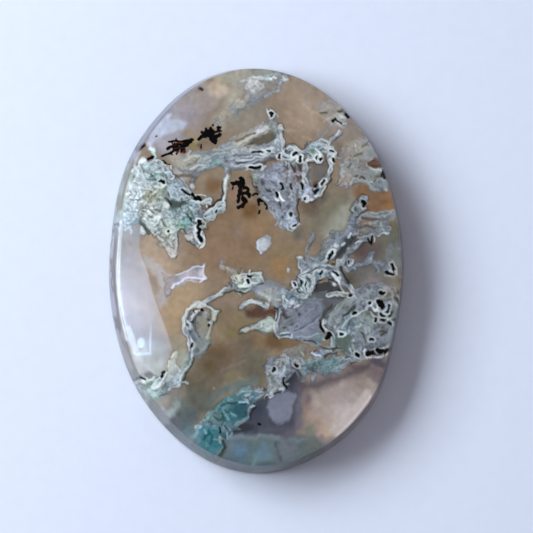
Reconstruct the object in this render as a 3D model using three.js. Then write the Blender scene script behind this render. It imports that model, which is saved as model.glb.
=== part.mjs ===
// Moss agate cabochon: one polished stone with a flat bevelled back, a leaning side wall,
// a rounded shoulder and a low dome. Millimetres, +Z up out of the dome, +Y along the length.
// The origin is the middle of the flat back.

import * as THREE from 'three';

// Driving dimensions
const LENGTH = 33; // along Y, at the widest line
const WIDTH = 24; // along X, at the widest line
const THICKNESS = 5; // flat back to the top of the dome
const BACK_BEVEL = 0.35; // width and height of the bevel round the back
const WALL_TOP = 3; // height where the side wall meets the shoulder
const WALL_LEAN = 0.45; // how far the wall leans in from the widest line to its top
const SHOULDER_RADIUS = 0.4;
const DOME_EDGE_DEGREES = 14; // slope of the dome where it leaves the shoulder

// Where hand grinding left the oval fuller (positive) or flatter (negative), round from +X
const GRINDING = [
  { degrees: -149, spread: 14, depth: 0.12 },
  { degrees: -74, spread: 12, depth: -0.08 },
  { degrees: -44, spread: 13, depth: 0.22 },
  { degrees: -17, spread: 14, depth: -0.2 },
  { degrees: 33, spread: 11, depth: 0.12 },
  { degrees: 82, spread: 20, depth: -0.07 },
  { degrees: 147, spread: 11, depth: 0.12 },
  { degrees: 170, spread: 10, depth: -0.12 },
];

// How finely the smooth surface is divided
const STEPS_ROUND = 132;
const SHOULDER_STEPS = 4;
const DOME_STEPS = 13;

const RADIANS = Math.PI / 180;

// Outward depth that grinding leaves at a turn round the oval
function grindingAt(turn) {
  let depth = 0;
  for (const patch of GRINDING) {
    const away = Math.atan2(
      Math.sin(turn - patch.degrees * RADIANS),
      Math.cos(turn - patch.degrees * RADIANS),
    );
    depth += patch.depth * Math.exp(-((away / (patch.spread * RADIANS)) ** 2));
  }
  return depth;
}

// Point of the oval at a turn from +X, moved in from the widest line by inset
function ovalPoint(turn, inset) {
  const across = Math.cos(turn);
  const along = Math.sin(turn);
  const normal = new THREE.Vector2(across / WIDTH, along / LENGTH).normalize();
  const point = new THREE.Vector2((across * WIDTH) / 2, (along * LENGTH) / 2);
  return point.addScaledVector(normal, grindingAt(turn) - inset);
}

// Section from the middle of the back, out round the side and up to the top of the dome.
// Each level is an inset from the widest line, a share of that outline and a height.
function sectionLevels() {
  const lean = Math.atan2(WALL_LEAN, WALL_TOP - BACK_BEVEL);
  const domeNormal = (90 - DOME_EDGE_DEGREES) * RADIANS;
  const centreInset = WALL_LEAN + SHOULDER_RADIUS * Math.cos(lean);
  const centreHeight = WALL_TOP - SHOULDER_RADIUS * Math.sin(lean);
  const levels = [
    { inset: BACK_BEVEL, share: 0, height: 0 },
    { inset: BACK_BEVEL, share: 1, height: 0 },
    { inset: 0, share: 1, height: BACK_BEVEL },
  ];
  for (let step = 0; step <= SHOULDER_STEPS; step++) {
    const rise = lean + ((domeNormal - lean) * step) / SHOULDER_STEPS;
    levels.push({
      inset: centreInset - SHOULDER_RADIUS * Math.cos(rise),
      share: 1,
      height: centreHeight + SHOULDER_RADIUS * Math.sin(rise),
    });
  }
  const edge = levels[levels.length - 1];
  for (let step = 1; step <= DOME_STEPS; step++) {
    const share = 1 - step / DOME_STEPS;
    const height = THICKNESS - (THICKNESS - edge.height) * share ** 2;
    levels.push({ inset: edge.inset, share, height });
  }
  return levels;
}

// A lathe gives the closed skin, and each of its points then moves onto the oval
function cabochonGeometry() {
  const levels = sectionLevels();
  const section = levels.map((level) => new THREE.Vector2(level.share, level.height));
  const geometry = new THREE.LatheGeometry(section, STEPS_ROUND);
  const position = geometry.getAttribute('position');
  for (let index = 0; index < position.count; index++) {
    const level = levels[index % levels.length];
    const step = Math.floor(index / levels.length) % STEPS_ROUND;
    const turn = (2 * Math.PI * step) / STEPS_ROUND;
    const point = ovalPoint(turn, level.inset).multiplyScalar(level.share);
    position.setXYZ(index, point.x, point.y, level.height);
  }
  geometry.computeBoundingBox();
  const middle = geometry.boundingBox.getCenter(new THREE.Vector3());
  geometry.translate(-middle.x, -middle.y, 0);
  geometry.deleteAttribute('normal');
  geometry.computeVertexNormals();
  return geometry;
}

const agate = new THREE.MeshStandardMaterial({ color: 0xa9a08c, roughness: 0.08, metalness: 0 });

const cabochon = new THREE.Mesh(cabochonGeometry(), agate);
cabochon.name = 'cabochon';

const stone = new THREE.Group();
stone.add(cabochon);

export default stone;
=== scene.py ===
"""Moss agate cabochon on a pale floor.

A clear polished skin holds a milky ground, pale moss and dark dendrites. Shapes are worked out in
millimetres and made in metres. What grew inside the stone is laid out by where it shows in a
picture of 533 by 533 pixels, through the polished top.
"""

import math
import random
from collections import namedtuple

import bpy
import numpy as np
from mathutils import Matrix, Vector


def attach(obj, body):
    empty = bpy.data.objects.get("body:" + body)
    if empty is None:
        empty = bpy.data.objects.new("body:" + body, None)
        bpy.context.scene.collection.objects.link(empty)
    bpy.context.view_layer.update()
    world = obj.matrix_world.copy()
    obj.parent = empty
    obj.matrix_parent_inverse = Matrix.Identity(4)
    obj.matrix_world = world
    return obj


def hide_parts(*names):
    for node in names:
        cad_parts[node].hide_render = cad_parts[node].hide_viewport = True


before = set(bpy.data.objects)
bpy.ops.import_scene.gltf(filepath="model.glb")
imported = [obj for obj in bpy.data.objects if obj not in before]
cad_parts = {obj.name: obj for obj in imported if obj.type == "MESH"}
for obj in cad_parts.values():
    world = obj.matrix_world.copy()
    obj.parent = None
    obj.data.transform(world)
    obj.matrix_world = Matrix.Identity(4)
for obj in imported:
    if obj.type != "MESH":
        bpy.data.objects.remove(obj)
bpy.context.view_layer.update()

MM = 0.001

# The stone's form, as in the solid
LENGTH = 33.0
WIDTH = 24.0
THICKNESS = 5.0
BACK_BEVEL = 0.35
WALL_TOP = 3.0
WALL_LEAN = 0.45
SHOULDER_RADIUS = 0.4
DOME_EDGE_DEGREES = 14.0
# Where hand grinding left the oval fuller or flatter: degrees from +X, spread in degrees, depth
GRINDING = [
    (-149, 14, 0.12),
    (-74, 12, -0.08),
    (-44, 13, 0.22),
    (-17, 14, -0.2),
    (33, 11, 0.12),
    (82, 20, -0.07),
    (147, 11, 0.12),
    (170, 10, -0.12),
]

# What lies inside
STONE_IOR = 1.54
GROUND_DEPTH = 0.7  # the milky ground's depth below the middle of the polished top
GROUND_GAP = 0.06  # its distance from the rim, the wall and the back
BEVEL_GAP_SHARE = 0.4  # share of that distance by which its bevel reaches farther in and up
RIM_FROM = 0.76  # share of the dome where it starts to rise to the rim
SKIN_GAP = 0.045  # nothing inside comes nearer to the dome

# How finely the skin and the ground are divided: round the stone, and along each part of the section
Fineness = namedtuple("Fineness", "round back bevel wall shoulder dome")
SKIN_FINENESS = Fineness(288, 14, 4, 9, 12, 56)
GROUND_FINENESS = Fineness(700, 12, 4, 14, 10, 74)
GROUND_RIM_SHARES = (0.995, 0.85)  # the ground has closer rings between these shares of the dome
GROUND_RIM_RINGS = 28
OUTLINE_STEPS = 720  # points from which the outline's middle is found
SLOPE_STEP = 0.05  # how far to each side of a point its slope on the dome is taken

# The camera
PICTURE_SIZE = 533
PIXELS_PER_MM = 12.36
STONE_CENTRE_PIXEL = (256.7, 269.6)  # middle of the outline
OUTLINE_HEIGHT = 0.35  # the outline is the stone's widest line
VIEW_LEAN = (-0.08, -0.10)  # sideways part of the direction to the camera
VIEW_DISTANCE = 280.0
PICTURE_TURN_DEGREES = 1.7
CLIP_RANGE = (0.01, 10.0)  # metres
SURFACE_STEPS = 5  # how often the point where a ray meets the dome is improved
INSIDE_STEPS = 4  # and the point where it ends inside
SEEN_STEPS = 2  # and the point where a point inside shows through the dome

# The light: a large low window on the left, seen mirrored in the dome, and a dim room
LIGHT_FROM = (-0.76, 0.34, 0.56)
LIGHT_DISTANCE = 330.0
LIGHT_SIZE = (300.0, 170.0)
LIGHT_RADIANCE = 9.2
LIGHT_COLOUR = (0.87, 0.955, 1.12)
ROOM_COLOUR = (0.95, 0.92, 1.10)
ROOM_STRENGTH = 0.235
MIRRORED_ROOM_STRENGTH = 0.06
FLOOR_HALF = 900.0  # half of the floor's width
FLOOR_COLOUR = (0.90, 0.945, 1.0)
FLOOR_MIRRORED = 0.8  # share of the floor's colour that the polished stone mirrors
# The mirrored window, in directions as shares of their height
LOWEST_HEIGHT = 0.05  # directions lower than this count as this high
MIRROR_SOFT = (-0.004, 0.004)  # its edge is soft between these distances inside it
MIRROR_EDGE = -0.3895  # its inner edge at the stone's middle
MIRROR_SLANT = -0.57  # how its inner edge runs
MIRROR_CORNER = -0.286  # where its cut lower corner would meet the stone's middle
MIRROR_CORNER_SLANT = 0.447  # how that corner's edge runs
MIRROR_LOW = (-0.19, -0.04)  # its lower end fades between these
MIRROR_HIGH = (0.27, 0.13)  # and its upper end between these
MIRROR_COLOUR = (0.50, 0.72, 1.10)
MIRROR_STRENGTH = 5.4
MIRROR_GROWTH = 26.0  # how fast it brightens away from its inner edge
MIRROR_MOST = 13.0
MIRROR_FULL = (-0.15, -0.02)  # that growth fades between these
FOLD_SIDE = -0.434  # right edge of the bright curtain in the window
FOLD_LOW = -0.106  # its lower edge
FOLD_LEFT = (-0.585, -0.545)  # to its left it fades between these
FOLD_HIGH = (-0.015, -0.05)  # and upwards between these
FOLD_STRENGTH = 1.0
FOLD_LINE = 6.5  # strength of its bright hem
FOLD_BRIGHT = 11.0  # strength of its bright middle
FOLD_MIDDLE = (-0.494, -0.062)
FOLD_MIDDLE_SIZE = (0.023, 0.017)
FOLD_MIDDLE_FADE = (1.3, 0.6)  # squared distance, in those sizes, where it starts and is full
FOLD_HEM = (0.015, 0.009)  # the hem grows between these distances inside the curtain's edge
FOLD_SOFT = (-0.003, 0.003)  # that edge is soft between these distances inside it
INNER_SIDE = (-0.62, 0.18, 0.76)  # where the light that enters the stone comes from
INNER_DIM = 1.08
INNER_BRIGHT = 3.3
INNER_RANGE = (-0.2, 1.0)  # it grows between these, as a direction turns to that side
INNER_COLOUR = (0.975, 1.0, 1.05)
DIFFUSE_BOUNCES = 8


def unit(vectors):
    return vectors / np.linalg.norm(vectors, axis=-1, keepdims=True)


def smooth_step(values):
    clipped = np.clip(values, 0.0, 1.0)
    return clipped * clipped * (3.0 - 2.0 * clipped)


def between(values, start, end):
    """0 up to start, 1 past end and smooth between"""
    return smooth_step((values - start) / (end - start))


def linear(colour):
    """Linear colour of a screen colour with parts from 0 to 255, by the sRGB formula"""
    parts = np.asarray(colour, float) / 255.0
    return np.where(parts <= 0.04045, parts / 12.92, ((parts + 0.055) / 1.055) ** 2.4)


# The stone's form


def grinding(turn):
    depth = np.zeros_like(turn)
    for degrees, spread, amount in GRINDING:
        away = np.arctan2(np.sin(turn - math.radians(degrees)), np.cos(turn - math.radians(degrees)))
        depth = depth + amount * np.exp(-((away / math.radians(spread)) ** 2))
    return depth


def oval(turn, inset):
    """Points of the outline at turns from +X, moved in by inset, before it is centred"""
    normal = unit(np.stack([np.cos(turn) / WIDTH, np.sin(turn) / LENGTH], axis=-1))
    point = np.stack([np.cos(turn) * WIDTH / 2, np.sin(turn) * LENGTH / 2], axis=-1)
    return point + normal * (grinding(turn) - inset)[..., None]


def outline_middle():
    points = oval(np.linspace(0, 2 * math.pi, OUTLINE_STEPS, endpoint=False), 0.0)
    return (points.min(axis=0) + points.max(axis=0)) / 2


MIDDLE = outline_middle()
WALL_ANGLE = math.atan2(WALL_LEAN, WALL_TOP - BACK_BEVEL)
SHOULDER_INSET = WALL_LEAN + SHOULDER_RADIUS * math.cos(WALL_ANGLE)
SHOULDER_HEIGHT = WALL_TOP - SHOULDER_RADIUS * math.sin(WALL_ANGLE)
DOME_NORMAL = math.radians(90 - DOME_EDGE_DEGREES)
EDGE_INSET = SHOULDER_INSET - SHOULDER_RADIUS * math.cos(DOME_NORMAL)
EDGE_HEIGHT = SHOULDER_HEIGHT + SHOULDER_RADIUS * math.sin(DOME_NORMAL)


def dome_share(points):
    """How far out points lie, as a share of the dome's edge"""
    centred = points[..., :2] + MIDDLE
    across = centred[..., 0] / (WIDTH / 2 - EDGE_INSET)
    along = centred[..., 1] / (LENGTH / 2 - EDGE_INSET)
    edge = oval(np.arctan2(along, across), EDGE_INSET)
    return np.linalg.norm(centred, axis=-1) / np.linalg.norm(edge, axis=-1)


def height_at(share):
    return THICKNESS - (THICKNESS - EDGE_HEIGHT) * share**2


def dome_height(points):
    return height_at(dome_share(points))


def dome_normal(points):
    step = SLOPE_STEP
    across = (dome_height(points + [step, 0, 0]) - dome_height(points - [step, 0, 0])) / (2 * step)
    along = (dome_height(points + [0, step, 0]) - dome_height(points - [0, step, 0])) / (2 * step)
    return unit(np.stack([-across, -along, np.ones_like(across)], axis=-1))


# The camera, and where things show in the picture


def camera_axes():
    lean = np.array(VIEW_LEAN)
    backward = np.array([lean[0], lean[1], math.sqrt(1 - lean @ lean)])
    turn = math.radians(PICTURE_TURN_DEGREES)
    up = np.array([math.sin(turn), math.cos(turn), 0.0])
    up = unit(up - (up @ backward) * backward)
    return np.cross(up, backward), up, backward


RIGHT, UP, BACKWARD = camera_axes()
FROM_CENTRE = (np.array([PICTURE_SIZE / 2] * 2) - STONE_CENTRE_PIXEL) / PIXELS_PER_MM
CAMERA_TARGET = np.array([0, 0, OUTLINE_HEIGHT]) + RIGHT * FROM_CENTRE[0] - UP * FROM_CENTRE[1]
CAMERA_PLACE = CAMERA_TARGET + BACKWARD * VIEW_DISTANCE
PIXEL_SLOPE = 1.0 / (PIXELS_PER_MM * VIEW_DISTANCE)


def refracted(directions, normals):
    ratio = 1.0 / STONE_IOR
    facing = -np.sum(directions * normals, axis=-1, keepdims=True)
    return ratio * directions + (ratio * facing - np.sqrt(1 - ratio**2 * (1 - facing**2))) * normals


def depth_at(share):
    """The ground's depth below the dome, which shrinks toward the rim"""
    return GROUND_DEPTH + (GROUND_GAP - GROUND_DEPTH) * between(share, RIM_FROM, 1.0)


def place(pixels, rise):
    """Points that show at pixels through the top, at a rise from the ground, 0, to the top, 1"""
    offset = (pixels - PICTURE_SIZE / 2) * PIXEL_SLOPE
    directions = unit(-BACKWARD + offset[..., :1] * RIGHT - offset[..., 1:] * UP)
    height = np.full(pixels.shape[:-1], THICKNESS)
    for _ in range(SURFACE_STEPS):
        reach = (height - CAMERA_PLACE[2]) / directions[..., 2]
        surface = CAMERA_PLACE + directions * reach[..., None]
        height = dome_height(surface)
    inside = refracted(directions, dome_normal(surface))
    points = surface
    for _ in range(INSIDE_STEPS):
        share = dome_share(points)
        height = height_at(share) - depth_at(share) * (1 - rise)
        points = surface + inside * ((height - surface[..., 2]) / inside[..., 2])[..., None]
    return points


def projected(points):
    """Pixels of points outside the stone"""
    away = points - CAMERA_PLACE
    distance = -(away @ BACKWARD)
    across = (away @ RIGHT) / distance / PIXEL_SLOPE
    down = -(away @ UP) / distance / PIXEL_SLOPE
    return np.stack([across, down], axis=-1) + PICTURE_SIZE / 2


def seen_at(points):
    """Pixels where points show through the polished top"""
    surface = points.copy()
    for _ in range(SEEN_STEPS):
        outward = unit(CAMERA_PLACE - surface)
        inside = refracted(-outward, dome_normal(surface))
        depth = dome_height(points) - points[..., 2]
        surface = points + inside * (depth / inside[..., 2])[..., None]
    return projected(surface)


def turn_at(points):
    """Degrees from +X round the stone's middle"""
    centred = points[..., :2] + MIDDLE
    return np.degrees(np.arctan2(centred[..., 1] / LENGTH, centred[..., 0] / WIDTH))


def rim_frame(degrees):
    """Pixels of the outline at turns, and the direction into the stone there"""
    turn = np.radians(np.asarray(degrees, float))
    height = np.full((*turn.shape, 1), OUTLINE_HEIGHT)
    outline = projected(np.concatenate([oval(turn, 0.0) - MIDDLE, height], axis=-1))
    within = projected(np.concatenate([oval(turn, 1.0) - MIDDLE, height], axis=-1))
    return outline, unit(within - outline)


def at_rim(degrees, inset):
    """Pixels at turns round the stone, some pixels inside its outline"""
    outline, inward = rim_frame(degrees)
    return outline + inward * np.asarray(inset, float)[..., None]


# Smooth noise over pixels, and layers of it: strength, size and seed

NOISE_SIZE = 61
NOISE_GAIN = 1.3  # the mean of four random corners seldom comes near 1
WAVER_ACROSS = [(1.0, 7, 1), (0.5, 3, 2)]
WAVER_DOWN = [(1.0, 7, 3), (0.5, 3, 4)]


def noise(pixels, size, seed):
    """Smooth noise from -1 to 1 with bumps about size pixels apart"""
    table = np.random.default_rng(seed).uniform(-1, 1, (NOISE_SIZE, NOISE_SIZE))
    slant = 0.5 + seed
    across = (pixels[..., 0] * math.cos(slant) + pixels[..., 1] * math.sin(slant)) / size
    down = (pixels[..., 1] * math.cos(slant) - pixels[..., 0] * math.sin(slant)) / size
    column = np.floor(across).astype(int)
    row = np.floor(down).astype(int)
    right = smooth_step(across - column)
    lower = smooth_step(down - row)
    near = [column % NOISE_SIZE, row % NOISE_SIZE]
    far = [(column + 1) % NOISE_SIZE, (row + 1) % NOISE_SIZE]
    top = table[near[0], near[1]] * (1 - right) + table[far[0], near[1]] * right
    bottom = table[near[0], far[1]] * (1 - right) + table[far[0], far[1]] * right
    return NOISE_GAIN * (top * (1 - lower) + bottom * lower)


def layered(pixels, layers):
    return sum(strength * noise(pixels, size, seed) for strength, size, seed in layers)


def bell(values):
    return np.exp(-(values**2))


def creased(pixels, layers):
    """Lines where noise is near 0, in layers of strength, size, seed and width"""
    return sum(strength * bell(noise(pixels, size, seed) / width) for strength, size, seed, width in layers)


def wavered(pixels, amount):
    """Pixels moved a little in smooth waves, so that edges don't look drawn"""
    moves = [layered(pixels, WAVER_ACROSS), layered(pixels, WAVER_DOWN)]
    return pixels + amount * np.stack(moves, axis=-1)


# Meshes


def make_mesh(name, points, quads, triangles=None):
    """A mesh object of points in millimetres"""
    mesh = bpy.data.meshes.new(name)
    triangles = np.zeros((0, 3), int) if triangles is None else triangles
    corners = np.concatenate([quads.ravel(), triangles.ravel()])
    sizes = np.concatenate([np.full(len(quads), 4), np.full(len(triangles), 3)])
    mesh.vertices.add(len(points))
    mesh.vertices.foreach_set("co", (points * MM).ravel())
    mesh.loops.add(len(corners))
    mesh.loops.foreach_set("vertex_index", corners.astype(np.int32))
    mesh.polygons.add(len(sizes))
    mesh.polygons.foreach_set("loop_start", (np.cumsum(sizes) - sizes).astype(np.int32))
    mesh.polygons.foreach_set("loop_total", sizes.astype(np.int32))
    mesh.update(calc_edges=True)
    mesh.shade_smooth()
    piece = bpy.data.objects.new(name, mesh)
    bpy.context.scene.collection.objects.link(piece)
    return piece


def add_tint(piece, colours):
    layer = piece.data.attributes.new("tint", "FLOAT_COLOR", "POINT")
    opaque = np.ones((len(colours), 1))
    layer.data.foreach_set("color", np.concatenate([colours, opaque], axis=1).ravel())


def turned_skin(levels, steps_round):
    """Points and faces of a closed skin through levels of inset, share and height, back to top"""
    turn = np.linspace(0, 2 * math.pi, steps_round, endpoint=False)
    rings = []
    for inset, share, height in levels[1:-1]:
        flat = oval(turn, inset) * share - MIDDLE
        rings.append(np.concatenate([flat, np.full((steps_round, 1), height)], axis=1))
    first = np.array([[-MIDDLE[0], -MIDDLE[1], levels[0][2]]])
    last = np.array([[-MIDDLE[0], -MIDDLE[1], levels[-1][2]]])
    points = np.concatenate([*rings, first, last])
    here = np.arange(steps_round)
    after = (here + 1) % steps_round
    quads = []
    for ring in range(len(rings) - 1):
        low = ring * steps_round
        high = low + steps_round
        quads.append(np.stack([low + here, low + after, high + after, high + here], axis=1))
    top = (len(rings) - 1) * steps_round
    back_fan = np.stack([after, here, np.full(steps_round, len(points) - 2)], axis=1)
    top_fan = np.stack([top + here, top + after, np.full(steps_round, len(points) - 1)], axis=1)
    return points, np.concatenate(quads), np.concatenate([back_fan, top_fan])


def stone_levels():
    """The polished skin's section, finer than the solid's"""
    fine = SKIN_FINENESS
    levels = [(BACK_BEVEL, share, 0.0) for share in np.linspace(0, 1, fine.back)]
    for rise in np.linspace(0, 1, fine.bevel)[1:]:
        levels.append((BACK_BEVEL * (1 - rise), 1, BACK_BEVEL * rise))
    for rise in np.linspace(0, 1, fine.wall)[1:-1]:
        levels.append((WALL_LEAN * rise, 1, BACK_BEVEL + (WALL_TOP - BACK_BEVEL) * rise))
    for rise in np.linspace(WALL_ANGLE, DOME_NORMAL, fine.shoulder):
        inset = SHOULDER_INSET - SHOULDER_RADIUS * math.cos(rise)
        levels.append((inset, 1, SHOULDER_HEIGHT + SHOULDER_RADIUS * math.sin(rise)))
    levels += [(EDGE_INSET, share, height_at(share)) for share in np.linspace(1, 0, fine.dome)[1:]]
    return levels


def ground_levels():
    """The milky ground's section, just inside the skin"""
    fine = GROUND_FINENESS
    bevel = BACK_BEVEL + BEVEL_GAP_SHARE * GROUND_GAP
    levels = [(bevel, share, GROUND_GAP) for share in np.linspace(0, 1, fine.back)]
    for rise in np.linspace(0, 1, fine.bevel)[1:]:
        levels.append((bevel * (1 - rise) + GROUND_GAP * rise, 1, GROUND_GAP + (bevel - GROUND_GAP) * rise))
    for height in np.linspace(bevel, SHOULDER_HEIGHT, fine.wall)[1:-1]:
        lean = WALL_LEAN * (height - BACK_BEVEL) / (WALL_TOP - BACK_BEVEL)
        levels.append((lean + GROUND_GAP, 1, height))
    radius = SHOULDER_RADIUS - GROUND_GAP
    for rise in np.linspace(WALL_ANGLE, DOME_NORMAL, fine.shoulder):
        inset = SHOULDER_INSET - radius * math.cos(rise)
        levels.append((inset, 1, SHOULDER_HEIGHT + radius * math.sin(rise)))
    rim_rings = np.linspace(*GROUND_RIM_SHARES, GROUND_RIM_RINGS)
    middle_rings = np.linspace(GROUND_RIM_SHARES[1], 0, fine.dome)[1:]
    for share in [*rim_rings, *middle_rings]:
        levels.append((EDGE_INSET, share, height_at(share) - depth_at(share)))
    return levels


# Painting with soft-edged patches, in pixels

PAINT_WAVER = 1.1
Patch = namedtuple("Patch", "points reach soft colour filled")


def spot(x, y, reach, soft, colour):
    return Patch([(x, y)], reach, soft, colour, False)


def stroke(points, reach, soft, colour):
    return Patch(points, reach, soft, colour, False)


def area(points, soft, colour):
    return Patch(points, 0.0, soft, colour, True)


def line_distance(pixels, points, closed=False):
    corners = np.asarray(points, float)
    if len(corners) == 1:
        return np.linalg.norm(pixels - corners[0], axis=-1)
    ends = np.roll(corners, -1, axis=0) if closed else corners[1:]
    starts = corners if closed else corners[:-1]
    nearest = np.full(pixels.shape[:-1], np.inf)
    for start, end in zip(starts, ends):
        run = end - start
        share = np.clip((pixels - start) @ run / (run @ run), 0, 1)
        nearest = np.minimum(nearest, np.linalg.norm(pixels - start - share[..., None] * run, axis=-1))
    return nearest


def inside_outline(pixels, points):
    corners = np.asarray(points, float)
    inside = np.zeros(pixels.shape[:-1], bool)
    for start, end in zip(corners, np.roll(corners, -1, axis=0)):
        if start[1] != end[1]:
            crosses = (start[1] > pixels[..., 1]) != (end[1] > pixels[..., 1])
            where = start[0] + (pixels[..., 1] - start[1]) * (end[0] - start[0]) / (end[1] - start[1])
            inside ^= crosses & (pixels[..., 0] < where)
    return inside


def edge_distance(pixels, points):
    """Distance from an outline's edge, positive inside it"""
    distance = line_distance(pixels, points, True)
    return np.where(inside_outline(pixels, points), distance, -distance)


def patch_share(pixels, patch):
    """How much of a patch's colour pixels take"""
    if patch.filled:
        distance = -edge_distance(pixels, patch.points)
    else:
        distance = line_distance(pixels, patch.points)
    return smooth_step((patch.reach + patch.soft - distance) / (2 * patch.soft))


def painted(pixels, base, patches):
    """Linear colours of pixels on a base colour with patches laid over it in order"""
    colours = np.empty((*pixels.shape[:-1], 3))
    colours[...] = linear(base)
    moved = wavered(pixels, PAINT_WAVER)
    for patch in patches:
        corners = np.asarray(patch.points, float)
        room = patch.reach + patch.soft
        low = corners.min(axis=0) - room
        high = corners.max(axis=0) + room
        near = np.all((moved > low) & (moved < high), axis=-1)
        if near.any():
            share = patch_share(moved[near], patch)[:, None]
            colours[near] = colours[near] * (1 - share) + linear(patch.colour) * share
    return colours


# Colours of the milky ground

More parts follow.
